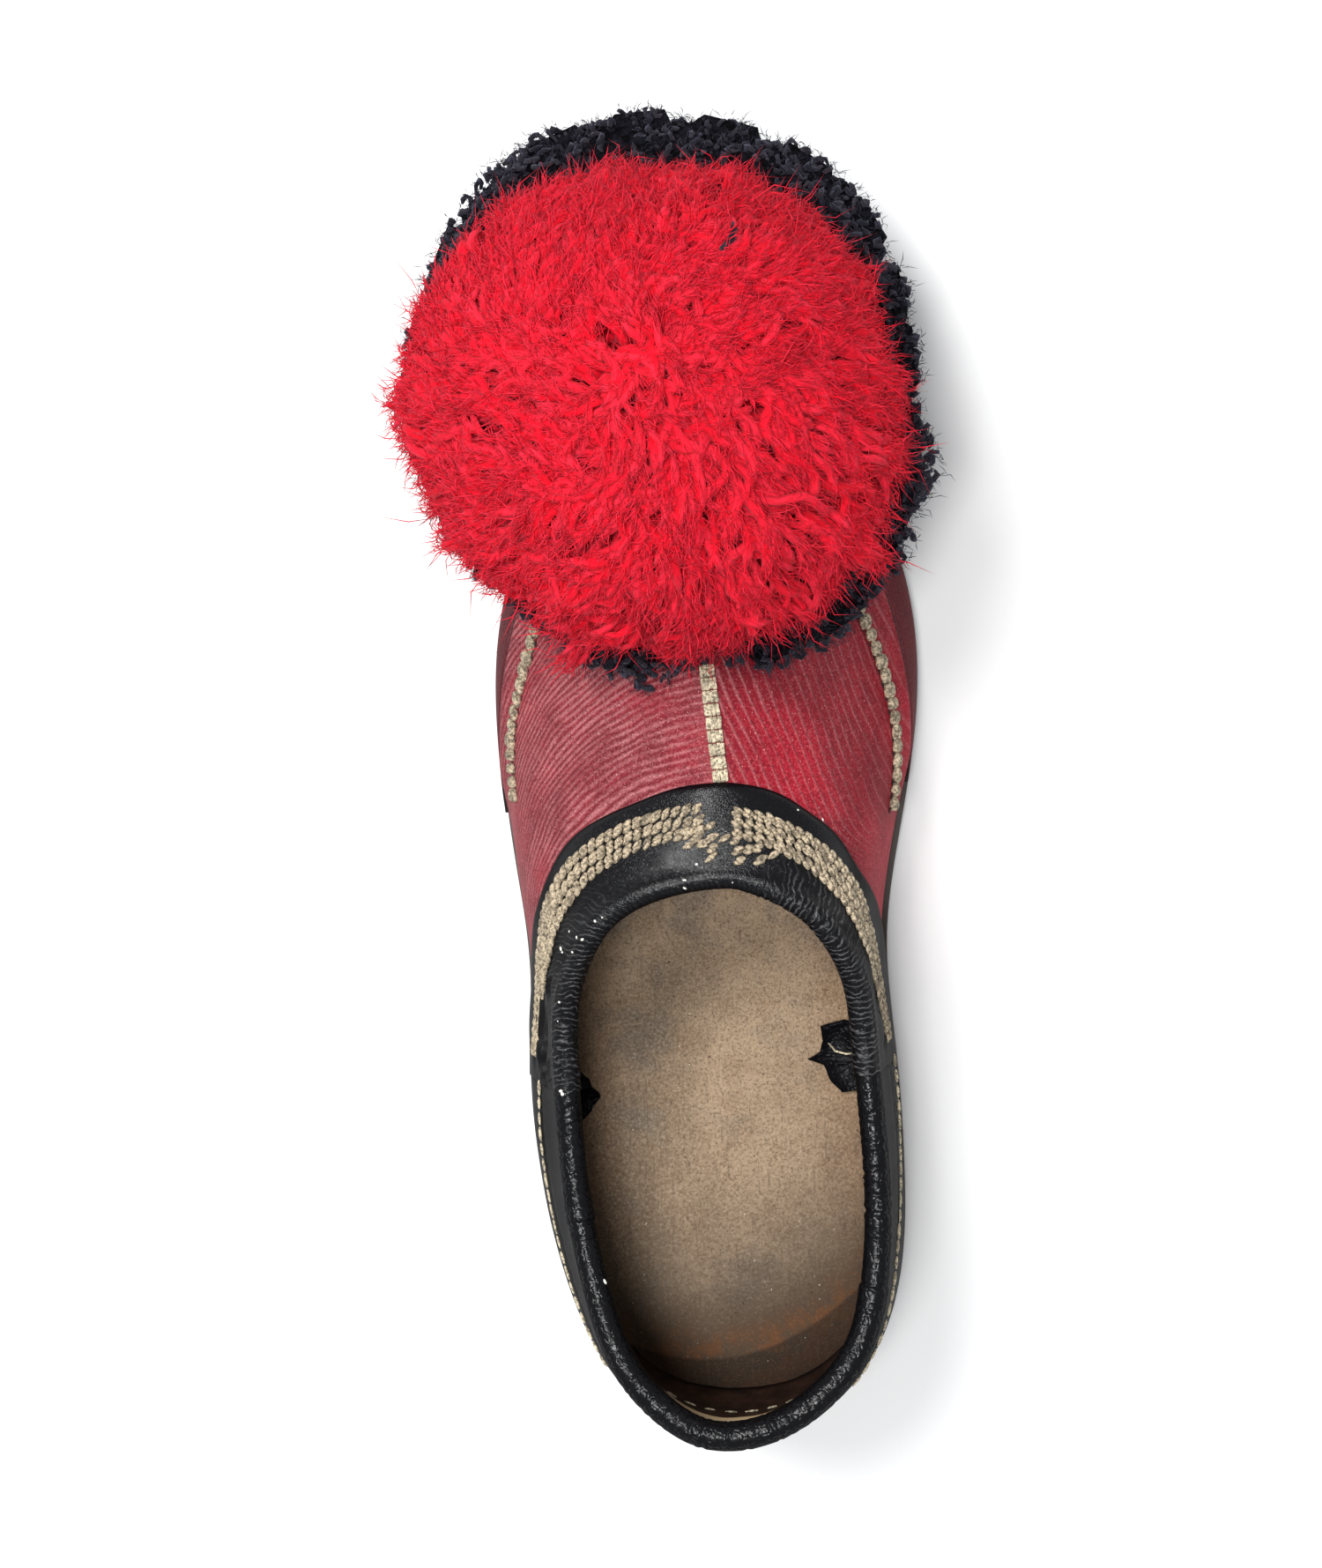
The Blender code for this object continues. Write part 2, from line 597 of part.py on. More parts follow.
def wool_body(half_height, lock, column, seed, narrow, lean):
    """A tufted half of a rounded body with a flat face at zero height, above it if half_height is positive."""
    form = bmesh.new()
    radii = [row[POMPOM_COLUMNS.index(column)] for row in POMPOM_OUTLINE]
    directions = [row[0] for row in POMPOM_OUTLINE]
    plain = min(radii) - lock
    bmesh.ops.create_icosphere(form, subdivisions=3, radius=1.0)
    bmesh.ops.rotate(form, verts=form.verts[:], matrix=Matrix.Rotation(math.radians(BALL_TURN), 3, "X"))
    bmesh.ops.scale(form, verts=form.verts[:], vec=(plain * MM, plain * MM, abs(half_height) * MM))
    bmesh.ops.translate(form, verts=form.verts[:], vec=(0.0, 0.0, FLATTENED * half_height * MM))
    bmesh.ops.bisect_plane(form, geom=form.verts[:] + form.edges[:] + form.faces[:], dist=1e-5, clear_inner=True,
                           plane_co=(0.0, 0.0, 0.0), plane_no=(0.0, 0.0, half_height))
    rim = [edge for edge in form.edges if edge.is_boundary]
    round_faces = form.faces[:]
    bmesh.ops.contextual_create(form, geom=rim)
    tufts(form, round_faces, lock, narrow, lean, seed)
    for vert in form.verts:
        direction = math.degrees(math.atan2(vert.co.y, vert.co.x))
        wanted = np.interp(direction, directions, radii, period=360)
        vert.co.xy *= wanted / (plain + lock)
    return form


def make_red_pompom(parts):
    form = wool_body(RED_HEIGHT, RED_LOCK, "red", seed=4, narrow=0.45, lean=2.2)
    bmesh.ops.transform(form, verts=form.verts[:],
                        matrix=pompom_frame() @ Matrix.Translation((0.0, 0.0, GAP * MM)))
    add_object("pompom_red", form, parts, "red_wool")


def loaf(sides):
    """A closed solid from a grid of points round the toe, its first column the flat bottom's edge."""
    form = bmesh.new()
    grid = [[form.verts.new(point * MM) for point in row] for row in sides]
    last = len(grid) - 1
    for here, after in zip(grid, grid[1:]):
        for j in range(len(here) - 1):
            form.faces.new((here[j], after[j], after[j + 1], here[j + 1]))
    for i in range(len(grid) // 2):
        corners = (grid[i][-1], grid[i + 1][-1], grid[last - i - 1][-1], grid[last - i][-1])
        form.faces.new(tuple(dict.fromkeys(corners)))
    for j in range(len(grid[0]) - 1):
        form.faces.new((grid[0][j], grid[0][j + 1], grid[last][j + 1], grid[last][j]))
    form.faces.new([row[0] for row in grid])
    return form


def make_toe_form(cutters):
    """The front of the shoe with its rand, lapped edge and sole, grown by the gap: it hollows the wool."""
    places = round_shoe(PLACE["instep_outer"], PLACE["instep_inner"])
    heights = wall_heights(places)
    rand = np.where(heights <= lines(places)[0][:, None] + 1e-6, GAP + RAND, 0.0)
    wall = seated(skin(places, heights, lap_height(places, heights) + rand + GAP))
    edge = wall[:, :1].copy()
    edge[:, 0, :2] = LAST.foot_outline(places, SOLE_EDGE + GAP)
    seated(edge)
    ground = edge.copy()
    ground[:, 0, 2] = -SOLE
    return add_cutter("toe_clearance", loaf(np.concatenate([ground, edge, wall], axis=1)), cutters)


def make_black_pompom(parts, clearances):
    form = wool_body(-BLACK_DEPTH, BLACK_LOBE, "black", seed=9, narrow=0.62, lean=0.8)
    shift = Matrix.Translation((BLACK_SHIFT[0] * MM, BLACK_SHIFT[1] * MM, 0.0))
    bmesh.ops.transform(form, verts=form.verts[:], matrix=pompom_frame() @ shift)
    wool = add_object("pompom_black", form, parts, "black_wool")
    for clearance in clearances:
        cut = wool.modifiers.new(clearance.name, "BOOLEAN")
        cut.operation = "DIFFERENCE"
        cut.solver = "EXACT"
        cut.use_self = True
        cut.object = clearance


def main():
    clear_scene()
    for name in FINISHES:
        make_finish(name)
    parts = new_collection("tsarouhi_shoe")
    cutters = new_collection("cutters", hidden=True)
    make_outsole(parts)
    make_heel(parts)
    make_insole(parts)
    make_upper(parts)
    make_overlays(parts)
    make_binding(parts)
    clearances = make_side_seams(parts, cutters)
    make_centre_seam(parts)
    make_tabs(parts)
    make_red_pompom(parts)
    make_black_pompom(parts, [make_toe_form(cutters), *clearances])
    for item in bpy.data.objects:
        item.location -= Vector((ORIGIN[0] * MM, ORIGIN[1] * MM, 0.0))


main()
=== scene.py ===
"""Looks of the left tsarouhi shoe: its leathers, seams, stitches and wool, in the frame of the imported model.

Tables and sizes are in millimetres. +Y points to the toe, +X to the inner side of the foot, the floor is at
zero, and ORIGIN is where the model's origin lies in these making coordinates.
"""

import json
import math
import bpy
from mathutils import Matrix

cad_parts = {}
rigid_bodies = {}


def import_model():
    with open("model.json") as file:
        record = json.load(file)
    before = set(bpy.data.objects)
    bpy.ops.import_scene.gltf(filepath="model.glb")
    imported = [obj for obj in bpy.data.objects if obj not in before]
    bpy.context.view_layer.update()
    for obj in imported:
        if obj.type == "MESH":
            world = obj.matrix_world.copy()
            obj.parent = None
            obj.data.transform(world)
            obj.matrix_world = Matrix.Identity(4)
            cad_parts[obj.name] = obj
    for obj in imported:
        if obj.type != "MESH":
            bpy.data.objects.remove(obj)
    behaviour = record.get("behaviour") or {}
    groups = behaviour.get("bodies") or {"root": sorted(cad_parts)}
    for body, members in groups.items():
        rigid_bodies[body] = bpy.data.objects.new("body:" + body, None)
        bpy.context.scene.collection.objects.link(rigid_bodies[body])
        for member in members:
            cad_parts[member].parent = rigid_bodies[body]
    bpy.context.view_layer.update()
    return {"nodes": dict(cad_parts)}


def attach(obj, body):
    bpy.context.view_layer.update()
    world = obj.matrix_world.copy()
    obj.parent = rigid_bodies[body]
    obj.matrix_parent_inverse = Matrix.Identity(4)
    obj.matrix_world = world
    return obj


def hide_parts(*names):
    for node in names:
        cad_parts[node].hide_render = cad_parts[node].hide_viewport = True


bl_info = {
    "name": "Tsarouhi shoe",
    "version": (1, 0, 0),
    "blender": (4, 5, 0),
    "location": "3D View > Sidebar > Tsarouhi",
    "description": "Dresses the left tsarouhi shoe with its leathers, stitches and wool pompom",
    "category": "Add Mesh",
}

import bmesh
import bpy
import numpy as np
from mathutils import Matrix, Vector
from mathutils.bvhtree import BVHTree

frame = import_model()

MM = 0.001
ORIGIN = np.array([-1.8, 151.9, 0.0])
GAP = 0.3

SOLE = 6.0
HEEL_LIFT = 7.0
HEEL_BREAST = 68.0
ARCH_END = 124.0
SPRING_START = 188.0
TOE_TIP = 266.0
TOE_SPRING = 36.0
SPRING_POWER = 2.2
SOLE_EDGE = 1.5
LIFT_TAPER = 0.8
INSOLE = 2.2
INSOLE_EASE = 0.9
INSOLE_END = 238.0
WALL = 2.5
RAND = 1.2
FACING = 1.1
LAP_RAMP = 6.0
LAP_RUN = 11.0
BINDING_RADIUS = 2.75
BINDING_FULLER_AT_HEEL = 0.9

# The last, round the shoe from the back of the heel by the outer side to the toe and back by the inner side
STATION_COLUMNS = ("foot_x", "foot_y", "rim_x", "rim_y", "rim_z", "rise", "lean", "reach", "drop",
                   "rand", "facing", "back")
STATIONS = {
    "heel": (-1.0, 0.0, -0.5, 4.6, 65.0, 15.0, 2.5, 3.0, 15.0, 2.0, 40.0, 20.0),
    "heel_outer": (-16.5, 2.5, -12.4, 8.4, 64.4, 15.0, 1.5, 3.0, 15.0, 2.0, 40.0, 20.0),
    "turn_outer": (-29.3, 11.2, -23.6, 19.6, 62.2, 15.0, 0.3, 3.5, 14.0, 2.0, 40.0, 19.0),
    "counter_outer": (-38.6, 28.5, -30.4, 36.5, 58.6, 14.0, -0.3, 4.0, 13.0, 2.0, 40.0, 18.0),
    "breast_outer": (-44.6, 56.0, -34.6, 59.5, 55.1, 14.0, -0.5, 4.0, 12.0, 2.0, 40.0, 17.0),
    "waist_outer": (-46.6, 84.0, -35.6, 84.0, 54.2, 14.0, -0.4, 4.0, 12.0, 2.0, 42.0, 17.0),
    "throat_outer": (-46.6, 108.0, -33.8, 104.0, 60.0, 13.0, 0.5, 5.0, 14.0, 2.0, 32.0, 17.0),
    "instep_outer": (-48.8, 134.0, -28.2, 118.9, 68.6, 11.0, 1.0, 15.0, 13.0, 2.0, 19.5, 17.0),
    "ball_outer": (-50.8, 162.0, -20.6, 127.2, 72.0, 10.0, 0.8, 24.0, 14.0, 8.0, 19.0, 17.0),
    "vamp_outer": (-49.6, 190.0, -12.4, 131.2, 73.6, 10.0, -0.5, 32.0, 14.0, 14.5, 18.5, 17.0),
    "side_outer": (-40.0, 219.0, -5.4, 133.1, 74.3, 10.0, -0.5, 38.0, 11.0, 14.0, 17.5, 17.0),
    "point_outer": (-24.0, 243.5, 0.2, 133.9, 74.6, 11.0, 0.0, 44.0, 6.0, 12.0, 17.5, 17.0),
    "corner_outer": (-8.0, 260.0, 3.9, 134.1, 74.7, 12.0, 0.0, 47.0, 3.5, 11.0, 17.5, 17.0),
    "toe": (1.5, 265.0, 6.2, 134.1, 74.7, 12.0, 0.0, 48.0, 3.0, 11.0, 17.5, 17.0),
    "corner_inner": (11.0, 260.0, 8.5, 134.0, 74.7, 12.0, 0.0, 47.0, 3.5, 11.0, 17.5, 17.0),
    "point_inner": (26.0, 244.0, 11.6, 133.4, 74.6, 11.0, 0.0, 44.0, 6.0, 13.0, 17.5, 17.0),
    "side_inner": (42.0, 220.0, 15.8, 132.0, 74.3, 10.0, -0.5, 38.0, 11.0, 16.0, 17.5, 17.0),
    "vamp_inner": (50.0, 191.0, 20.8, 129.6, 73.6, 10.0, -0.5, 32.0, 14.0, 17.0, 16.5, 17.0),
    "ball_inner": (49.0, 163.0, 26.2, 125.8, 71.6, 10.0, 0.8, 22.0, 14.0, 9.0, 16.0, 17.0),
    "instep_inner": (43.2, 136.0, 31.6, 119.0, 68.0, 12.0, 1.0, 12.0, 13.0, 2.0, 18.5, 17.0),
    "throat_inner": (38.6, 110.0, 35.7, 105.0, 60.0, 13.0, 1.0, 3.0, 14.0, 2.0, 38.0, 17.0),
    "waist_inner": (39.4, 84.0, 36.6, 84.0, 54.2, 14.0, 0.5, 1.5, 12.0, 2.0, 44.0, 17.0),
    "breast_inner": (39.6, 57.0, 37.0, 59.5, 55.1, 14.0, 0.5, 1.5, 12.0, 2.0, 40.0, 17.0),
    "counter_inner": (36.4, 29.0, 34.4, 35.0, 58.8, 14.0, 0.8, 2.0, 13.0, 2.0, 40.0, 18.0),
    "turn_inner": (27.2, 11.0, 27.2, 18.6, 62.2, 15.0, 1.2, 3.0, 14.0, 2.0, 40.0, 19.0),
    "heel_inner": (14.5, 2.5, 13.8, 8.0, 64.4, 15.0, 2.2, 3.0, 15.0, 2.0, 40.0, 20.0),
}
PLACE = {name: index for index, name in enumerate(STATIONS)}
TURN = len(STATIONS)
JOINT_HALF_WIDTH = 0.012
JOINT_OUTER = PLACE["waist_outer"]
JOINT_INNER = PLACE["waist_inner"]
RAND_ENDS = (PLACE["instep_outer"] + 0.5, PLACE["instep_inner"] - 0.5)


def smooth(x):
    """0 below 0, 1 above 1, and an S-curve between."""
    x = np.clip(x, 0.0, 1.0)
    return x * x * (3.0 - 2.0 * x)


def sole_bottom(y):
    """Underside of the sole: on the heel, down the arch, flat under the ball, up to the toe."""
    heel = 2 * (HEEL_LIFT + GAP) * (1.0 - smooth((y - HEEL_BREAST) / (ARCH_END - HEEL_BREAST)))
    along_spring = np.clip((y - SPRING_START) / (TOE_TIP - SPRING_START), 0.0, 1.1)
    return heel + TOE_SPRING * along_spring**SPRING_POWER


def sole_top(y):
    return sole_bottom(y) + SOLE


def insole_top(y):
    return sole_top(y) + GAP + INSOLE


class Last:
    """The shoe's outer surface: a Bezier line at each place round the shoe, from the sole up to the collar."""

    SAMPLES = 49

    def __init__(self):
        self.rows = np.array(list(STATIONS.values()))
        feet = self.rows[:, :2]
        self.steps = np.linalg.norm(np.roll(feet, -1, axis=0) - feet, axis=1) ** 0.5
        self.bends = self.closed_spline_bends()

    def closed_spline_bends(self):
        """Second derivatives of the closed cubic spline through the stations."""
        count = len(self.rows)
        matrix = np.zeros((count, count))
        right = np.zeros_like(self.rows)
        for k in range(count):
            before, after = self.steps[k - 1], self.steps[k]
            following = (k + 1) % count
            matrix[k, k - 1] += before
            matrix[k, k] += 2 * (before + after)
            matrix[k, following] += after
            rise_after = (self.rows[following] - self.rows[k]) / after
            rise_before = (self.rows[k] - self.rows[k - 1]) / before
            right[k] = 6 * (rise_after - rise_before)
        return np.linalg.solve(matrix, right)

    def columns(self, places):
        """The station columns at any places round the shoe, counted in stations from the heel."""
        count = len(self.rows)
        whole = np.floor(places).astype(int)
        here, following = whole % count, (whole + 1) % count
        after = (places - whole)[:, None]
        before = 1.0 - after
        span = self.steps[here][:, None]
        straight = before * self.rows[here] + after * self.rows[following]
        bend = (before**3 - before) * self.bends[here] + (after**3 - after) * self.bends[following]
        values = straight + bend * span * span / 6.0
        return dict(zip(STATION_COLUMNS, values.T))

    def foot_outline(self, places, outwards=0.0):
        """The line where the wall meets the sole, in plan, moved outwards."""
        row = self.columns(places)
        feet = np.stack([row["foot_x"], row["foot_y"]], axis=1)
        return feet + outwards * self.foot_normals(places)

    def foot_normals(self, places):
        ahead, behind = self.columns(places + 0.01), self.columns(places - 0.01)
        along_x = ahead["foot_x"] - behind["foot_x"]
        along_y = ahead["foot_y"] - behind["foot_y"]
        normals = np.stack([-along_y, along_x], axis=1)
        return normals / np.linalg.norm(normals, axis=1, keepdims=True)

    def controls(self, places):
        """The four Bezier points of each line."""
        row = self.columns(places)
        up = np.array([0.0, 0.0, 1.0])
        out = np.pad(self.foot_normals(places), ((0, 0), (0, 1)))
        foot = np.stack([row["foot_x"], row["foot_y"], sole_top(row["foot_y"]) + GAP], axis=1)
        rim = np.stack([row["rim_x"], row["rim_y"], row["rim_z"]], axis=1)
        level = (foot - rim) * (1.0, 1.0, 0.0)
        level /= np.linalg.norm(level, axis=1, keepdims=True)
        first = foot + row["rise"][:, None] * up + row["lean"][:, None] * out
        second = rim + row["reach"][:, None] * level - row["drop"][:, None] * up
        return foot, first, second, rim

    def bezier(self, places, along):
        """Points at the Bezier parameters, an array with a row for each place."""
        one, two, three, four = (point[:, None, :] for point in self.controls(places))
        t = along[:, :, None]
        u = 1.0 - t
        return u**3 * one + 3 * u * u * t * two + 3 * u * t * t * three + t**3 * four

    def parameters(self, places, heights):
        """Bezier parameters where the wall's length from the sole is the given part of the whole."""
        even = np.linspace(0.0, 1.0, self.SAMPLES)
        points = self.bezier(places, np.broadcast_to(even, (len(places), self.SAMPLES)))
        pieces = np.linalg.norm(np.diff(points, axis=1), axis=2)
        reached = np.pad(np.cumsum(pieces, axis=1), ((0, 0), (1, 0)))
        reached /= reached[:, -1:]
        return np.array([np.interp(wanted, have, even) for wanted, have in zip(heights, reached)])

    def lengths(self, places):
        """Length of the wall from the sole to the rim."""
        even = np.linspace(0.0, 1.0, self.SAMPLES)
        points = self.bezier(places, np.broadcast_to(even, (len(places), self.SAMPLES)))
        return np.linalg.norm(np.diff(points, axis=1), axis=2).sum(axis=1)

    def normals(self, places, along):
        """Unit normals out of the shoe, level at the sole so that the wall stands flat on it."""
        step = 0.02
        sides = self.bezier(places + step, along) - self.bezier(places - step, along)
        upper = np.clip(along + step, 0.0, 1.0)
        lower = np.clip(along - step, 0.0, 1.0)
        normals = np.cross(self.bezier(places, upper) - self.bezier(places, lower), sides)
        normals[:, :, 2] *= np.clip(along / 0.12, 0.0, 1.0)
        return normals / np.linalg.norm(normals, axis=2, keepdims=True)

    def rim_direction(self, places):
        """Unit direction in which the wall arrives at the rim."""
        _, _, second, rim = self.controls(places)
        along = rim - second
        return along / np.linalg.norm(along, axis=1, keepdims=True)


LAST = Last()


def in_front(places):
    return (places > JOINT_OUTER) & (places < JOINT_INNER)


def lines(places):
    """Heights of the rand's edge and of the collar bands' lower edge, as parts of the wall's length."""
    row = LAST.columns(places)
    length = LAST.lengths(places)
    low = np.clip(row["rand"], 1.5, None) / length
    turned = places % TURN
    band = np.where(in_front(turned), row["facing"], row["back"])
    return low, np.maximum(1.0 - band / length, low + 2.0 / length)


def lap_height(places, heights):
    """How far the vamp's lapped edge stands out: full above the rand's edge, then down to nothing."""
    row = LAST.columns(places)
    full = (GAP + RAND) * smooth((row["rand"] - 2.0) / LAP_RAMP)
    low, _ = lines(places)
    beyond = (heights - low[:, None]) * LAST.lengths(places)[:, None]
    return full[:, None] * smooth((beyond + 0.2) / 0.4) * (1.0 - smooth(beyond / LAP_RUN))


def skin(places, heights, offset):
    """Points at an offset out from the last."""
    along = LAST.parameters(places, heights)
    offset = np.broadcast_to(offset, along.shape)
    return LAST.bezier(places, along) + offset[:, :, None] * LAST.normals(places, along)


def seated(grid):
    """The grid with its first column set down on the sole."""
    grid[:, 0, 2] = sole_top(grid[:, 0, 1]) + GAP
    return grid


def on_wall(places, up, offset):
    """Points, outward normals and directions along the row, for a row on the wall at lengths up from the sole."""
    places = np.asarray(places, float)
    heights = (np.asarray(up, float) / LAST.lengths(places))[:, None]
    points = skin(places, heights, np.asarray(offset, float).reshape(-1, 1))[:, 0]
    normals = LAST.normals(places, LAST.parameters(places, heights))[:, 0]
    return points, normals


# Small tools for meshes

def mesh_object(name, points, faces, smoothed=True):
    """A mesh object from millimetre points in the making coordinates and a list of face arrays."""
    mesh = bpy.data.meshes.new(name)
    corners = [np.asarray(some, np.int32) for some in faces if len(some)]
    loops = np.concatenate([some.ravel() for some in corners])
    sizes = np.concatenate([np.full(len(some), some.shape[1], np.int32) for some in corners])
    mesh.vertices.add(len(points))
    mesh.vertices.foreach_set("co", ((np.asarray(points) - ORIGIN) * MM).astype(np.float32).ravel())
    mesh.loops.add(len(loops))
    mesh.loops.foreach_set("vertex_index", loops)
    mesh.polygons.add(len(sizes))
    starts = np.concatenate([[0], np.cumsum(sizes)[:-1]]).astype(np.int32)
    mesh.polygons.foreach_set("loop_start", starts)
    mesh.polygons.foreach_set("use_smooth", np.full(len(sizes), smoothed))
    mesh.update(calc_edges=True)
    mesh.validate()
    made = bpy.data.objects.new(name, mesh)
    bpy.context.scene.collection.objects.link(made)
    return made


def add_values(piece, **values):
    """Float attributes on the piece's points, for its material."""
    for name, numbers in values.items():
        layer = piece.data.attributes.new(name, "FLOAT", "POINT")
        layer.data.foreach_set("value", np.asarray(numbers, np.float32).ravel())


def face_outwards(piece):
    """Normals made consistent, and turned round where the closed piece is inside out."""
    form = bmesh.new()
    form.from_mesh(piece.data)
    bmesh.ops.recalc_face_normals(form, faces=form.faces[:])
    if form.calc_volume(signed=True) < 0.0:
        bmesh.ops.reverse_faces(form, faces=form.faces[:])
    form.to_mesh(piece.data)
    form.free()


def loop_grid(name, grid, ring, **values):
    """A closed piece from cross-sections: grid is [sections, points round the section, 3]."""
    rows, columns = grid.shape[:2]
    index = np.arange(rows * columns).reshape(rows, columns)
    across = np.roll(index, -1, axis=1)
    if ring:
        after, after_across = np.roll(index, -1, axis=0), np.roll(across, -1, axis=0)
        quads = np.stack([index, after, after_across, across], axis=-1).reshape(-1, 4)
        faces = [quads]
    else:
        quads = np.stack([index[:-1], index[1:], across[1:], across[:-1]], axis=-1).reshape(-1, 4)
        half = columns // 2
        front = np.arange(half - 1)
        back = columns - 1 - front
        caps = [np.stack([index[row][front], index[row][front + 1], index[row][back - 1], index[row][back]], axis=-1)
                for row in (0, -1)]
        faces = [quads, *caps]
    made = mesh_object(name, grid.reshape(-1, 3), faces)
    add_values(made, **{key: np.broadcast_to(value, (rows, columns)) for key, value in values.items()})
    face_outwards(made)
    return made


def plate_values(outer_values, columns):
    """Values of a plate's outer grid repeated on its inner one, in loop_grid's order."""
    return np.concatenate([outer_values, outer_values[:, ::-1]], axis=1)


def plate(name, outer, inner, ring, **values):
    """A closed plate between an outer and an inner grid of points."""
    grid = np.concatenate([outer, inner[:, ::-1]], axis=1)
    return loop_grid(name, grid, ring, **{key: plate_values(value, outer.shape[1]) for key, value in values.items()})


def rounded(distances, edge, full, least=0.35):
    """Thickness of a leather whose cut edges are rounded: distances are from the nearest edge."""
    t = np.clip(distances / edge, 0.0, 1.0)
    return full * (least + (1.0 - least) * np.sqrt(1.0 - (1.0 - t) ** 2))


def frames_along(points, normals, closed=False):
    """Unit directions along a row of points, square to the normals."""
    if closed:
        along = np.roll(points, -1, axis=0) - np.roll(points, 1, axis=0)
    else:
        along = np.gradient(points, axis=0)
    along -= (along * normals).sum(axis=1, keepdims=True) * normals
    return along / np.linalg.norm(along, axis=1, keepdims=True)


def even_row(points, normals, pitch, **values):
    """The row of points resampled at an even pitch."""
    steps = np.linalg.norm(np.diff(points, axis=0), axis=1)
    reached = np.concatenate([[0.0], np.cumsum(steps)])
    count = max(int(round(reached[-1] / pitch)), 1)
    wanted = (np.arange(count) + 0.5) / count * reached[-1]
    def resample(table):
        return np.stack([np.interp(wanted, reached, table[:, k]) for k in range(3)], axis=1)
    centres, ups = resample(points), resample(normals)
    ups /= np.linalg.norm(ups, axis=1, keepdims=True)
    return centres, ups, frames_along(centres, ups)


def stamped(name, template, centres, along, up, sizes, turn, **values):
    """Copies of a template mesh, one at each centre: sizes are its length, width and height, turn is about up."""
    count = len(centres)
    points = np.empty(len(template.vertices) * 3, np.float32)
    template.vertices.foreach_get("co", points)
    points = points.reshape(-1, 3)
    turn = np.broadcast_to(np.asarray(turn, float), (count,))[:, None]
    side = np.cross(up, along)
    first = along * np.cos(turn) + side * np.sin(turn)
    second = np.cross(up, first)
    sizes = np.broadcast_to(np.asarray(sizes, float), (count, 3))
    placed = (centres[:, None, :] + points[None, :, 0, None] * (first * sizes[:, :1])[:, None, :]
              + points[None, :, 1, None] * (second * sizes[:, 1:2])[:, None, :]
              + points[None, :, 2, None] * (up * sizes[:, 2:])[:, None, :])
    shift = (np.arange(count) * len(points))[:, None, None]
    by_size = {}
    for face in template.polygons:
        by_size.setdefault(len(face.vertices), []).append(list(face.vertices))
    faces = [(np.array(some)[None] + shift).reshape(-1, size) for size, some in by_size.items()]
    made = mesh_object(name, placed.reshape(-1, 3), faces)
    made_values = {key: np.repeat(np.asarray(value, float), len(points)) for key, value in values.items()}
    add_values(made, **made_values)
    return made


def bead(segments=8, rings=6, waist=0.0):
    """The mesh of one plump stitch, a unit ball drawn in at its ends, as a template."""
    bpy.ops.object.select_all(action="DESELECT")
    bpy.ops.mesh.primitive_uv_sphere_add(segments=segments, ring_count=rings, radius=1.0,
                                         rotation=(0.0, math.radians(90.0), 0.0))
    made = bpy.context.object
    bpy.ops.object.transform_apply(location=False, rotation=True, scale=False)
    mesh = made.data
    for vert in mesh.vertices:
        vert.co.y += waist * vert.co.x
    bpy.data.objects.remove(made)
    return mesh


# Shader nodes written as expressions

class Field:
    """A socket of a shader, so that arithmetic on it adds Math nodes."""

    def __init__(self, finish, socket):
        self.finish = finish
        self.socket = socket

    def math(self, operation, *others, clamp=False):
        values = {0: self, **{number + 1: other for number, other in enumerate(others)}}
        return self.finish.node("ShaderNodeMath", {"operation": operation, "use_clamp": clamp}, values)

    def __add__(self, other):
        if self.socket.type == "VECTOR":
            return self.finish.node("ShaderNodeVectorMath", {"operation": "ADD"}, {0: self, 1: other})
        return self.math("ADD", other)

    def __radd__(self, other):
        return self.math("ADD", other)

    def __mul__(self, other):
        return self.math("MULTIPLY", other)

    def __rmul__(self, other):
        return self.math("MULTIPLY", other)

    def __sub__(self, other):
        return self.math("SUBTRACT", other)

    def __rsub__(self, other):
        return (self * -1.0) + other

    def __pow__(self, other):
        return self.math("POWER", other)

    def above(self, low, high):
        """0 below low, 1 above high, and an S-curve between."""
        return self.finish.node("ShaderNodeMapRange", {"interpolation_type": "SMOOTHSTEP"},
                                {"Value": self, "From Min": low, "From Max": high})


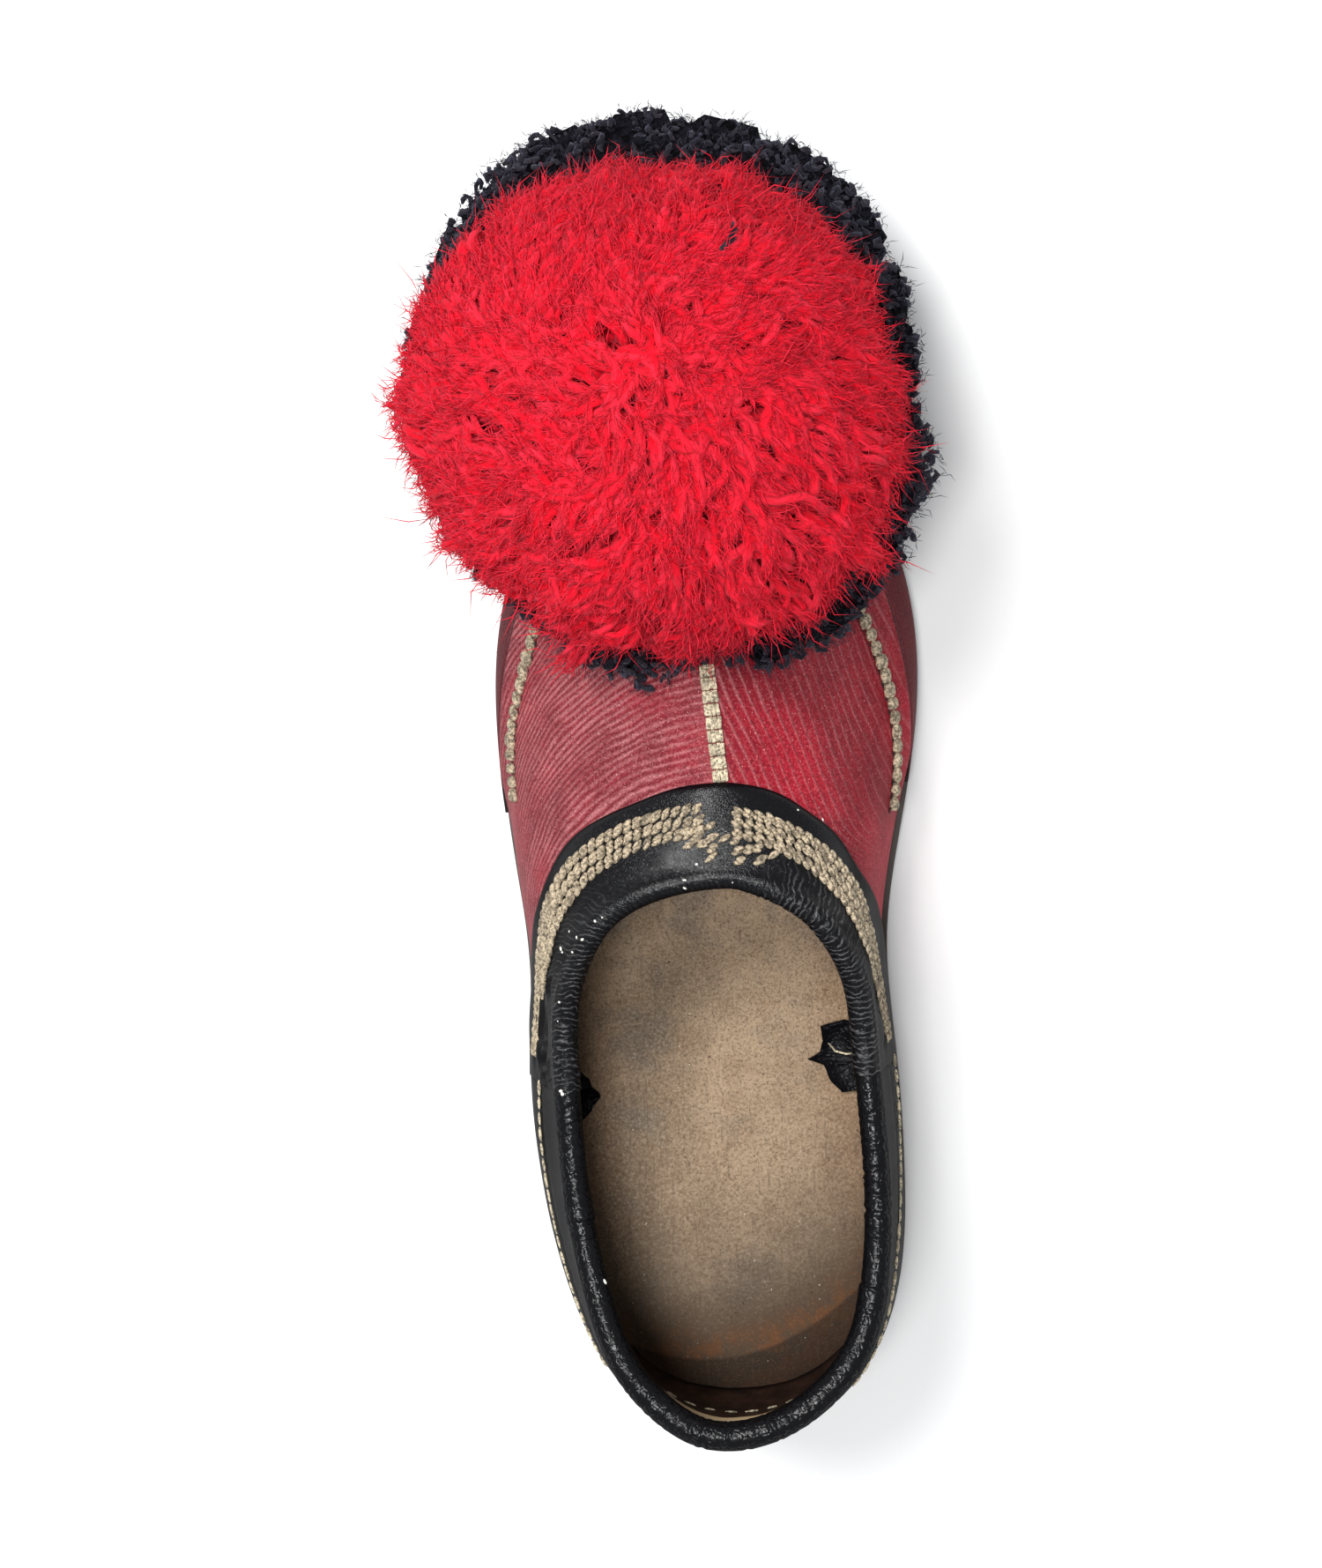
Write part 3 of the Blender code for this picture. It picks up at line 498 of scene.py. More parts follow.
class Finish:
    """A material and the nodes that make its looks."""

    def __init__(self, name, colour, roughness, **constants):
        self.material = bpy.data.materials.new(name)
        self.material.use_nodes = True
        self.tree = self.material.node_tree
        self.shader = self.tree.nodes["Principled BSDF"]
        self.shader.inputs["Base Color"].default_value = (*colour, 1.0)
        self.shader.inputs["Roughness"].default_value = roughness
        for key, value in constants.items():
            self.shader.inputs[key].default_value = value
        self.material.diffuse_color = (*colour, 1.0)
        self.bumps = None

    def node(self, kind, settings=None, values=None, output=0):
        """A node of a type, with its settings set first, then its sockets' values or links."""
        made = self.tree.nodes.new(kind)
        for key, value in (settings or {}).items():
            if key == "stops":
                ramp = made.color_ramp
                while len(ramp.elements) < len(value):
                    ramp.elements.new(0.5)
                for element, (position, colour) in zip(ramp.elements, value):
                    element.position, element.color = position, (*colour, 1.0)
            else:
                setattr(made, key, value)
        for key, value in (values or {}).items():
            self.put(made.inputs[key], value)
        return Field(self, made.outputs[output])

    def put(self, socket, value):
        if isinstance(value, Field):
            self.tree.links.new(value.socket, socket)
        elif socket.type == "RGBA" and len(value) == 3:
            socket.default_value = (*value, 1.0)
        else:
            socket.default_value = value

    def place(self, *scale):
        """Object coordinates in millimetres, times the scales."""
        coordinates = self.node("ShaderNodeTexCoord", output=3)
        scale = scale or (1.0,)
        scale = scale * 3 if len(scale) == 1 else scale
        return self.node("ShaderNodeVectorMath", {"operation": "MULTIPLY"},
                         {0: coordinates, 1: tuple(1000.0 * value for value in scale)})

    def value(self, name):
        return self.node("ShaderNodeAttribute", {"attribute_name": name}, output=2)

    def vector(self, x, y, z=0.0):
        return self.node("ShaderNodeCombineXYZ", values={0: x, 1: y, 2: z})

    def noise(self, vector, scale, detail=2.0, rough=0.5, distortion=0.0):
        return self.node("ShaderNodeTexNoise", values={"Vector": vector, "Scale": scale, "Detail": detail,
                                                       "Roughness": rough, "Distortion": distortion})

    def cells(self, vector, scale, feature="DISTANCE_TO_EDGE"):
        return self.node("ShaderNodeTexVoronoi", {"feature": feature}, {"Vector": vector, "Scale": scale})

    def mix(self, factor, first, second, blend="MIX"):
        made = self.tree.nodes.new("ShaderNodeMix")
        made.data_type = "RGBA"
        made.blend_type = blend
        self.put(made.inputs[0], factor)
        self.put(made.inputs[6], first)
        self.put(made.inputs[7], second)
        return Field(self, made.outputs[2])

    def colour(self, value):
        self.put(self.shader.inputs["Base Color"], value)

    def roughness(self, value):
        self.put(self.shader.inputs["Roughness"], value)

    def gloss(self, weight, roughness):
        """A clear polish on what faces up, that leaves the steep sides matt."""
        steep = self.node("ShaderNodeLayerWeight", values={"Blend": 0.5}, output=1)
        self.put(self.shader.inputs["Coat Weight"], (1.0 - steep.above(0.22, 0.62)) * weight)
        self.shader.inputs["Coat Roughness"].default_value = roughness
        self.shader.inputs["Coat IOR"].default_value = 1.45

    def bump(self, height, depth, strength=1.0):
        """Adds a bump whose whole height is the depth in millimetres."""
        values = {"Height": height, "Distance": depth * MM, "Strength": strength}
        if self.bumps:
            values["Normal"] = self.bumps
        self.bumps = self.node("ShaderNodeBump", values=values)
        self.put(self.shader.inputs["Normal"], self.bumps)
        self.put(self.shader.inputs["Coat Normal"], self.bumps)


FINISHES = {}


def chosen(name, shade=1.0):
    """A colour from the settings, darkened or lightened by the shade."""
    return tuple(min(1.0, part * shade) for part in getattr(bpy.context.scene.tsarouhi_colours, name))


def size_of(name):
    """A length from the settings in millimetres, or a plain number."""
    value = getattr(bpy.context.scene.tsarouhi_sizes, name)
    return value / MM if isinstance(value, float) else value


def finish_once(name, make):
    if name not in FINISHES:
        FINISHES[name] = make(name).material
    return FINISHES[name]


def vamp_leather(name, shade=0.0):
    """Red leather with a drawn grain round the collar, rubbed pale on its ridges, its cut edges dyed black."""
    f = Finish(name, chosen("red_leather"), 0.5, **{"Specular IOR Level": 0.03})
    along, across, lateral = f.value("along"), f.value("across"), f.value("lateral")
    medial = (1.0 - lateral) * 1.33
    place = f.place(1.0)
    sway = f.noise(place, 0.045, 1.0)
    uneven = f.noise(f.vector(across * 0.5, along * 0.06, 0.0), 0.9, 2.0, 0.6)
    wave = ((across + sway * (1.0 + lateral * 4.5) + uneven * lateral * 1.7) * (2 * math.pi / 1.9)).math("SINE") * 0.5 + 0.5
    patches = f.noise(place, 0.09, 2.0, 0.6).above(0.30, 0.62)
    lines = wave ** (1.3 + medial * 5.0)
    rubbed = lines * (0.30 + 0.70 * patches)
    grain = f.noise(place, 1.5, 2.0, 0.8)
    pores = f.cells(place, 1.4).above(0.0, 0.3)
    blotch = f.noise(place, 0.040, 3.0, 0.6)
    red = f.mix(blotch.above(0.35, 0.68), chosen("red_leather", 0.72), chosen("red_leather", 1.38))
    dull = f.mix(f.noise(place, 0.2, 2.0), chosen("dull_leather"), chosen("dull_leather", 0.75))
    colour = f.mix((lateral * 0.95 - 0.2) * (1.25 - blotch), red, dull)
    colour = f.mix(rubbed * (0.26 + lateral * 0.54), colour, chosen("rubbed_leather"))
    colour = f.mix(grain.above(0.50, 0.64) * 0.6, colour, (0.095, 0.007, 0.013))
    colour = f.mix((1.0 - grain.above(0.34, 0.46)) * (0.28 + lateral * 0.12), colour, (0.56, 0.180, 0.190))
    colour = f.mix((1.0 - pores) * 0.3, colour, (0.060, 0.008, 0.012))
    colour = f.mix(f.noise(place, 2.6, 1.0).above(0.72, 0.77) * 0.8, colour, (0.74, 0.50, 0.48))
    if shade:
        colour = f.mix(shade, colour, (0.030, 0.008, 0.010))
    cut = 1.0 - f.value("edge").above(0.35, 0.75)
    f.colour(f.mix(cut, colour, (0.012, 0.009, 0.009)))
    f.roughness(0.50 + rubbed * 0.2)
    f.bump(lines, 0.18, 0.8)
    f.bump(pores * 0.5 + grain * 0.7, 0.12, 0.8)
    f.gloss(0.3, 0.36)
    return f


def black_leather(name, grain=2.0, depth=0.04, polish=0.7, wrinkles=False):
    """Black leather with a pebble grain, polished on what faces up, and fine wrinkles where it is rolled, their ridges
    painted pale as a highlight.
    """
    f = Finish(name, chosen("black_leather"), 0.5, **{"Specular IOR Level": 0.04})
    place = f.place(1.0)
    cells = f.cells(place + f.noise(place, 0.8, 1.0) * 0.7, grain).above(0.0, 0.25)
    grit = f.noise(place, 2.2, 2.0, 0.6)
    blotch = f.noise(place, 0.07, 3.0, 0.6)
    scuffs = f.noise(place, 0.9, 4.0, 0.75)
    colour = f.mix(blotch.above(0.4, 0.75), chosen("black_leather", 0.5), chosen("black_leather", 1.15))
    colour = f.mix((1.0 - cells) * 0.7, colour, (0.002, 0.002, 0.003))
    colour = f.mix(scuffs.above(0.70, 0.82) * 0.3, colour, (0.10, 0.095, 0.092))
    if wrinkles:
        crossing = f.value("crossing") + f.noise(place, 0.35, 2.0) * 3.2
        ridge = ((crossing * (2 * math.pi / 1.5)).math("SINE") * 0.5 + 0.5) ** 5.0
        broken = f.noise(f.vector(f.value("crossing") * 0.8, f.value("turn") * 0.02), 1.0, 2.0, 0.7).above(0.36, 0.6)
        ridge = ridge * broken * f.value("wrinkle")
        # Painted highlight: the wrinkles' ridges are painted pale where light would glint on them.
        colour = f.mix(ridge * 0.6, colour, (0.15, 0.148, 0.150))
        f.bump(ridge, 0.22, 0.9)
    f.colour(colour)
    f.roughness(0.45 + blotch * 0.2)
    f.bump(cells, depth, 0.7)
    f.bump(grit, 0.025, 0.6)
    f.gloss((1.25 - blotch) * polish, 0.20)
    return f


def sole_leather(name):
    f = Finish(name, chosen("sole_leather"), 0.55)
    place = f.place(1.0)
    layers = f.noise(f.place(0.25, 0.25, 2.2), 1.0, 3.0, 0.6)
    stains = f.noise(place, 0.12, 4.0, 0.65)
    f.colour(f.mix(stains, chosen("sole_leather", 0.65), chosen("sole_leather", 1.9)))
    f.roughness(0.45 + stains * 0.25)
    f.bump(layers, 0.18, 0.6)
    f.bump(f.noise(place, 1.7, 3.0, 0.7), 0.10, 0.5)
    return f


def insole_leather(name):
    """Raw tan-brown leather board, with grit, pits, foot stains and a few short cracks, and painted shadow at its back
    end where the heel's walls shade it.
    """
    f = Finish(name, chosen("insole"), 0.85, **{"Specular IOR Level": 0.15})
    place = f.place(1.0)
    stains = f.noise(place, 0.022, 3.0, 0.55, 0.4)
    spots = f.noise(place, 0.14, 4.0, 0.75)
    grit = f.noise(place, 1.5, 3.0, 0.85)
    pits = f.noise(place, 1.0, 2.0, 0.7)
    crumbs = f.noise(place + (5.0, 3.0, 0.0), 1.1, 1.0)
    scratch = f.noise(f.place(1.2, 0.10, 1.0), 1.0, 2.0, 0.6)
    lengthways = f.node("ShaderNodeSeparateXYZ", values={0: place}, output=1)
    sideways = f.node("ShaderNodeSeparateXYZ", values={0: place}, output=0)
    base = f.mix(stains.above(0.34, 0.62), chosen("insole", 0.62), chosen("insole"))
    base = f.mix(spots.above(0.42, 0.72) * 0.5, base, (0.215, 0.135, 0.080))
    grey = f.noise(place + (31.0, 7.0, 0.0), 0.05, 3.0, 0.6).above(0.52, 0.70)
    base = f.mix(grey * 0.6, base, (0.150, 0.128, 0.105))
    toeward = lengthways.above(-5.0, 40.0)
    base = f.mix(toeward * 0.45, base, (0.260, 0.185, 0.125))
    back = (sideways + 6.0) * (sideways + 6.0) * 0.012 - lengthways
    # Painted shadow of the heel's walls: darker and browner towards the back end.
    base = f.mix(back.above(84.0, 140.0) * 0.88, base, (0.070, 0.052, 0.038))
    base = f.mix(back.above(120.0, 137.0) * 0.7, base, (0.052, 0.030, 0.018))
    base = f.mix(back.above(128.0, 138.0) * spots.above(0.40, 0.62) * 0.6, base, (0.160, 0.056, 0.016))
    # A dark line along the back rim: painted contact shadow where the insole meets the wall.
    contact_shadow = back.above(138.0, 139.2)
    base = f.mix(contact_shadow * 0.75, base, (0.018, 0.012, 0.009))
    edges = (sideways + 1.0).math("ABSOLUTE").above(19.0, 34.0)
    base = f.mix(edges * 0.45 * (1.0 - back.above(100.0, 136.0) * 0.8), base, (0.170, 0.085, 0.040))
    base = f.mix(grit.above(0.50, 0.64) * 0.6, base, (0.085, 0.054, 0.034))
    # Fewer pale crumbs within the painted shadow at the back.
    pale = (1.0 - grit.above(0.36, 0.48)) * (1.0 - back.above(90.0, 140.0) * 0.85)
    base = f.mix(pale * 0.32, base, (0.55, 0.43, 0.31))
    base = f.mix(scratch.above(0.60, 0.68) * 0.3, base, (0.070, 0.050, 0.036))
    base = f.mix(pits.above(0.68, 0.74) * 0.85, base, (0.020, 0.013, 0.009))
    f.colour(f.mix(crumbs.above(0.79, 0.83) * 0.8, base, (0.80, 0.70, 0.56)))
    f.bump(grit, 0.25, 0.8)
    f.bump(pits, 0.20, 0.6)
    return f


def lining_leather(name):
    """Dark red-brown lining, its raw upper edge pale."""
    f = Finish(name, chosen("lining"), 0.6, **{"Specular IOR Level": 0.25})
    place = f.place(1.0)
    patches = f.noise(place, 0.15, 4.0, 0.65)
    colour = f.mix(patches.above(0.35, 0.7), chosen("lining", 0.4), chosen("lining", 1.2))
    raw = 1.0 - (f.value("edge") + f.noise(place, 0.6, 3.0) * 1.4).above(1.15, 1.35)
    f.colour(f.mix(raw, colour, (0.42, 0.30, 0.17)))
    f.bump(f.noise(place, 1.5, 4.0, 0.7), 0.15, 0.6)
    return f


def linen_thread(name, setting, darkening):
    """Waxed linen thread, with the twist of its strands across each stitch painted light on the raised strands and dark
    in the grooves as painted highlight and shade, and darker in random patches.
    """
    light, dark = chosen(setting), chosen(setting, 0.14)
    f = Finish(name, light, 0.65, **{"Specular IOR Level": 0.25})
    place = f.place(1.0)
    twist = f.noise(place, 1.5, 2.0, 0.7)
    dark_patches = f.noise(place, 0.6, 2.0, 0.7)
    # Painted highlight and shade: light on the raised strands of the twist, dark in its grooves.
    colour = f.mix(twist.above(0.41, 0.55), chosen(setting, 0.3), light)
    colour = f.mix(f.value("tone").above(0.3, 1.0) * 0.4, colour, chosen(setting, 0.6))
    # Darker in random patches.
    f.colour(f.mix(dark_patches.above(0.45, 0.68) * darkening, colour, dark))
    f.bump(twist, 0.35, 0.9)
    return f


def wool(name, setting, pale_tip_and_highlight, sheen, tint):
    """Spun wool, painted dark between the yarns for shade and paler at the ends, partly its own pale tips and partly
    painted highlight, with the twist of the fibres along each as painted shade in streaks.
    """
    deep, body = chosen(setting, 0.55), chosen(setting)
    f = Finish(name, body, 0.85, **{"Sheen Weight": sheen, "Sheen Roughness": 0.45, "Specular IOR Level": 0.08})
    f.shader.inputs["Sheen Tint"].default_value = (*tint, 1.0)
    along, tone, around = f.value("along"), f.value("tone"), f.value("around")
    fibres = f.noise(f.vector(around * 5.0 + along * 3.0, along * 1.5, tone * 40.0), 2.2, 2.0, 0.6)
    # Painted shade at the yarns' roots between them, and paler towards their ends, partly the wool's own pale tips and
    # partly painted highlight.
    shade = f.mix(along.above(0.0, 0.45), deep, body)
    shade = f.mix(along.above(0.55, 1.0) * 0.6, shade, pale_tip_and_highlight)
    shade = f.mix(tone.above(0.0, 1.0) * 0.45, shade, pale_tip_and_highlight)
    # Painted shade in fine streaks along the fibres.
    f.colour(f.mix(fibres.above(0.45, 0.7) * 0.55, shade, deep))
    f.bump(fibres, 0.35, 0.9)
    return f


def shaded_packed_wool(name, setting):
    """The dense wool under the loops and yarn ends, painted dark for the shade under them and darker still in the
    hollows of its curls.
    """
    f = Finish(name, chosen(setting, 0.4), 0.9, **{"Specular IOR Level": 0.05})
    place = f.place(1.0)
    curls = f.noise(place, 0.55, 3.0, 0.7)
    # Painted shade: dark overall and darkest in the hollows of the curls.
    f.colour(f.mix(curls.above(0.35, 0.65), chosen(setting, 0.08), chosen(setting, 0.8)))
    f.bump(curls, 1.2, 1.0)
    f.bump(f.noise(place, 2.0, 2.0, 0.7), 0.3, 0.8)
    return f


def plain(name, colour, roughness):
    f = Finish(name, colour, roughness)
    f.bump(f.noise(f.place(1.0), 1.5, 3.0, 0.7), 0.1, 0.5)
    return f


# Rows on the shoe. place counts stations round the shoe; the rest are lengths on the wall.
CHAIN_COLUMNS = ("place", "outer_row", "inner_row")  # down from the rim
CHAIN_LATERAL = (
    (5.25, 24.0, 20.0), (5.7, 21.5, 16.0), (6.12, 17.0, 10.5), (6.64, 12.0, 5.6), (7.46, 12.0, 5.6),
    (8.02, 12.8, 6.2), (9.12, 12.6, 7.0), (10.68, 12.2, 6.8), (12.2, 11.9, 6.7),
)
CHAIN_MEDIAL = (
    (14.2, 10.9, 6.4), (15.92, 10.7, 5.9), (17.52, 9.9, 4.6), (18.6, 9.2, 3.6), (19.4, 9.6, 3.4),
    (19.98, 14.0, 5.6), (20.4, 18.0, 10.0), (20.8, 20.0, 15.0),
)
SIDE_SEAM_COLUMNS = ("place", "up")  # up from the sole
SIDE_SEAM_LATERAL = ((7.80, 25.5), (8.08, 22.4), (8.3, 21.3), (8.6, 22.9), (8.92, 26.0), (9.22, 27.5), (9.6, 28.4))
SIDE_SEAM_MEDIAL = ((16.3, 33.5), (16.76, 31.2), (17.06, 28.9), (17.34, 26.7), (17.6, 24.4), (17.88, 22.2),
                    (18.14, 20.8), (18.4, 20.2), (18.62, 21.0))
CENTRE_SEAM = ((5.7, 178.0), (6.1, 173.3), (7.6, 151.5))  # x and y
CENTRE_SEAM_SPREAD = 0.84

# Long creases of the front band, each a path of (place, down from the rim), with width and depth
BAND_CREASES = (
    (((6.75, 3.0), (6.1, 9.0), (5.5, 12.5), (5.15, 7.5), (5.02, 1.0)), 0.8, 0.85),
    (((6.9, 6.0), (6.2, 13.0), (5.5, 16.5), (5.12, 12.0), (5.02, 6.0)), 0.9, 0.9),
    (((6.5, 1.5), (6.0, 5.0), (5.5, 8.0), (5.2, 4.5), (5.1, 0.5)), 0.7, 0.75),
    (((6.6, 4.5), (6.05, 7.0), (5.55, 10.2), (5.2, 6.0), (5.08, 2.0)), 0.5, 0.45),
    (((6.4, 15.0), (5.8, 20.0), (5.4, 22.0), (5.05, 18.0)), 0.9, 0.6),
    (((19.4, 1.5), (20.0, 4.0), (20.5, 6.0), (20.95, 5.0)), 0.7, 0.55),
    (((19.9, 7.0), (20.4, 11.0), (20.95, 11.5)), 0.8, 0.55),
    (((20.1, 3.0), (20.5, 8.0), (20.9, 8.5)), 0.5, 0.4),
)
# Wrinkles across the rolled edge: first and last place, how many, and how deep
ROLL_WRINKLES = (
    (4.99, 6.9, 30, 0.20), (6.9, 8.2, 8, 0.12), (16.2, 17.6, 10, 0.16), (17.6, 20.98, 30, 0.24),
    (9.0, 16.0, 9, 0.08),
)
BINDING_WRINKLES = ((-4.9, 4.98, 46, 0.10), (3.5, 4.9, 9, 0.26), (-4.7, -3.4, 10, 0.26), (-2.0, 2.0, 12, 0.14))
BINDING_OUT = 0.5
BINDING_LAPS = (3.72, -3.07)

POMPOM_CENTRE = (-1.0, 235.0, 65.0)
POMPOM_TILT = 6.0
FLATTENED = 0.22
RED_HEIGHT = 36.0
RED_OUTLINE = ((0, 51.8), (30, 53.0), (60, 52.3), (90, 51.8), (120, 54.0), (150, 57.0), (180, 57.5), (225, 52.3), (270, 56.4),
               (315, 58.3), (340, 55.0))
RED_TOP = 42.0
SWIRL = ((0, 0), (60, -8), (100, -12), (135, -42), (180, -48), (225, -40), (262, -12), (300, 6), (360, 0))


def polyline_distance(first, second, path):
    """Distance from grid points (first, second) to a path of such pairs, and how far along it, 0 to 1."""
    best = np.full(first.shape, 1e9)
    reached = np.zeros(first.shape)
    path = np.asarray(path, float)
    count = len(path) - 1
    for k, (one, two) in enumerate(zip(path[:-1], path[1:])):
        step = two - one
        t = np.clip(((first - one[0]) * step[0] + (second - one[1]) * step[1]) / (step @ step), 0.0, 1.0)
        distance = np.hypot(first - one[0] - t * step[0], second - one[1] - t * step[1])
        nearer = distance < best
        best = np.where(nearer, distance, best)
        reached = np.where(nearer, (k + t) / count, reached)
    return best, reached


def creased(around, down, places, creases):
    """Depth of long soft creases at points given by millimetres round the shoe and down from the rim."""
    depth = np.zeros(around.shape)
    lengthways = np.interp
    for path, width, deep in creases:
        points = [(lengthways(place, places, around[:, 0]), lower) for place, lower in path]
        distance, reached = polyline_distance(around, down, points)
        ends = smooth(reached / 0.15) * smooth((1.0 - reached) / 0.15)
        depth += ends * deep * (np.exp(-((distance / width) ** 2)) - 0.45 * np.exp(-(((distance - 2.2 * width) / width) ** 2)))
    return depth


def wrinkled(around, angle, places, wrinkles, seed, lowest=-40.0, highest=200.0):
    """Depth of short wrinkles across a rolled edge, at millimetres round it and degrees about its middle."""
    generator = np.random.default_rng(seed)
    depth = np.zeros(around.shape)
    for first, last, count, deep in wrinkles:
        start, end = np.interp((first, last), places, around[:, 0])
        middles = start + (np.arange(count) + generator.uniform(0.25, 0.75, count)) / count * (end - start)
        for middle in middles:
            slant = generator.normal(0.0, 0.014)
            bow = generator.uniform(-1.2, -0.3) * np.sign(generator.uniform(-0.2, 1.0))
            low, high = generator.uniform(lowest, 40.0), generator.uniform(110.0, highest)
            width = generator.uniform(0.28, 0.65)
            mid = (angle - 0.5 * (low + high)) / (high - low)
            distance = around - middle - slant * (angle - 90.0) - bow * mid**2 * 2.0
            ends = smooth((angle - low) / 25.0) * smooth((high - angle) / 25.0)
            strength = deep * generator.uniform(0.45, 1.2)
            depth += strength * ends * (np.exp(-((distance / width) ** 2)) - 0.5 * np.exp(-(((np.abs(distance) - 1.9 * width) / width) ** 2)))
    return depth


def ring_lengths(places):
    """Millimetres round the rim, from the first place."""
    rim = skin(places, np.ones((len(places), 1)), 0.0)[:, 0]
    steps = np.linalg.norm(np.diff(rim, axis=0), axis=1)
    return np.concatenate([[0.0], np.cumsum(steps)])


def outwards_sway(points, size, depth, seed):
    """Slow uneven bulges of hand-shaped leather, from a few waves."""
    generator = np.random.default_rng(seed)
    total = np.zeros(points.shape[:-1])
    for _ in range(7):
        wave = generator.normal(0.0, 1.0, 3)
        wave /= np.linalg.norm(wave) * size * generator.uniform(0.6, 1.6)
        total += np.sin(points @ wave * 2 * np.pi + generator.uniform(0, 7))
    return depth * total / 7.0


def settle(piece, slot, *nodes):
    """The finished piece rides on the shoe and stands for its solids; its slot is not used."""
    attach(piece, "root")
    if nodes:
        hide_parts(*nodes)
    return piece


def dressed(piece, *materials):
    for material in materials:
        piece.data.materials.append(material)
    return piece


def in_edit_mode(piece):
    bpy.ops.object.select_all(action="DESELECT")
    bpy.context.view_layer.objects.active = piece
    piece.select_set(True)
    bpy.ops.object.mode_set(mode="EDIT")


def apply_modifiers(piece):
    bpy.ops.object.select_all(action="DESELECT")
    bpy.context.view_layer.objects.active = piece
    piece.select_set(True)
    for modifier in list(piece.modifiers):
        bpy.ops.object.modifier_apply(modifier=modifier.name)


def foot_outline(outwards, steps=12):
    return LAST.foot_outline(np.arange(TURN * steps) / steps, outwards)


def board(name, outline, bottom, top, spacing, edge, end=None):
    """A plate of a closed outline between two height functions of y, with rounded edges, worked by hand tools."""
    bpy.ops.object.select_all(action="DESELECT")
    bpy.ops.mesh.primitive_circle_add(vertices=len(outline), radius=1.0, fill_type="NGON")
    made = bpy.context.object
    made.name = made.data.name = name
    for vert, (x, y) in zip(made.data.vertices, outline):
        vert.co = ((x - ORIGIN[0]) * MM, (y - ORIGIN[1]) * MM, 0.0)
    in_edit_mode(made)
    lowest, highest = outline[:, 1].min(), outline[:, 1].max()
    for y in np.arange(lowest + spacing, highest, spacing):
        bpy.ops.mesh.select_all(action="SELECT")
        bpy.ops.mesh.bisect(plane_co=(0.0, (y - ORIGIN[1]) * MM, 0.0), plane_no=(0.0, 1.0, 0.0))
    if end is not None:
        bpy.ops.mesh.select_all(action="SELECT")
        bpy.ops.mesh.bisect(plane_co=(0.0, (end - ORIGIN[1]) * MM, 0.0), plane_no=(0.0, 1.0, 0.0), clear_outer=True)
    bpy.ops.mesh.select_all(action="SELECT")
    bpy.ops.mesh.extrude_region_move(TRANSFORM_OT_translate={"value": (0.0, 0.0, 0.01)})
    bpy.ops.mesh.select_all(action="SELECT")
    bpy.ops.mesh.normals_make_consistent(inside=False)
    bpy.ops.object.mode_set(mode="OBJECT")
    for vert in made.data.vertices:
        height = top if vert.co.z > 0.005 else bottom
        vert.co.z = float(height(vert.co.y / MM + ORIGIN[1])) * MM
    if edge:
        soften = made.modifiers.new("edge", "BEVEL")
        soften.width = edge * MM
        soften.segments = 3
        soften.limit_method = "ANGLE"
        soften.angle_limit = math.radians(50.0)
        apply_modifiers(made)
    made.data.shade_smooth()
    return made


def vamp_piece():
    steps = 12
    places = np.arange(TURN * steps) / steps
    low, band = lines(places)
    length = LAST.lengths(places)
    step = 0.25 / length
    columns = [low * k / 3 for k in range(4)]
    columns += [low + step + (band - low - step) * (k / 34) ** 1.1 for k in range(34)]
    columns += [band + (1.0 - band) * k / 6 for k in range(7)]
    heights = np.stack(columns, axis=1)
    base = skin(places, heights, 0.0)
    lap = lap_height(places, heights)
    fade = smooth((heights * length[:, None] - 4.0) / 12.0) * smooth((band[:, None] - heights) * length[:, None] / 6.0)
    offset = lap + fade * outwards_sway(base, 46.0, 0.45, 3)
    outer = seated(skin(places, heights, offset))
    inner = seated(skin(places, heights, -WALL))
    down = (1.0 - heights) * length[:, None]
    x, y = base[:, :, 0], base[:, :, 1]
    slanted = 0.95 * (x - 7.0) + 0.31 * (y - 150.0) + 17.0
    inner_side = smooth((x - 6.0) / 2.0) * smooth((y - 118.0) / 22.0)
    across = down * (1.0 - inner_side) + slanted * inner_side
    along = np.cumsum(np.linalg.norm(np.roll(base[:, 10], -1, axis=0) - base[:, 10], axis=1))[:, None] + 0.0 * down
    lateral = 1.0 - 0.75 * smooth((x + 8.0) / 34.0)
    edge = np.clip(heights - low[:, None], -0.001, None) * length[:, None]
    edge = np.where(heights > low[:, None] + 1e-6, edge, 9.0)
    edge = np.where((lap.max(axis=1) > 0.4)[:, None], edge, 9.0)
    made = plate("vamp", outer, inner, True, along=along, across=across, lateral=lateral, edge=edge)
    columns = outer.shape[1]
    inside = (np.arange(len(made.data.polygons)) % (2 * columns)) >= columns
    made.data.polygons.foreach_set("material_index", inside.astype(np.int32))
    return made


def band_path(places, down, offset):
    length = LAST.lengths(places)
    return skin(places, 1.0 - down / length[:, None], offset)


def roll_frames(places, radius):
    """Middle of the rolled edge, and the wall's outward and upward directions there."""
    ones = np.ones((len(places), 1))
    rim = skin(places, ones, 0.0)[:, 0]
    out = LAST.normals(places, ones)[:, 0]
    up = LAST.rim_direction(places)
    out = out - (out * up).sum(axis=1, keepdims=True) * up
    out /= np.linalg.norm(out, axis=1, keepdims=True)
    return rim - WALL / 2 * out + (radius + GAP)[:, None] * up, out, up


def binding_radius(places):
    towards_heel = np.cos(2 * np.pi * places / TURN) * 0.5 + 0.5
    return BINDING_RADIUS + 0.6 * BINDING_FULLER_AT_HEEL * towards_heel**2


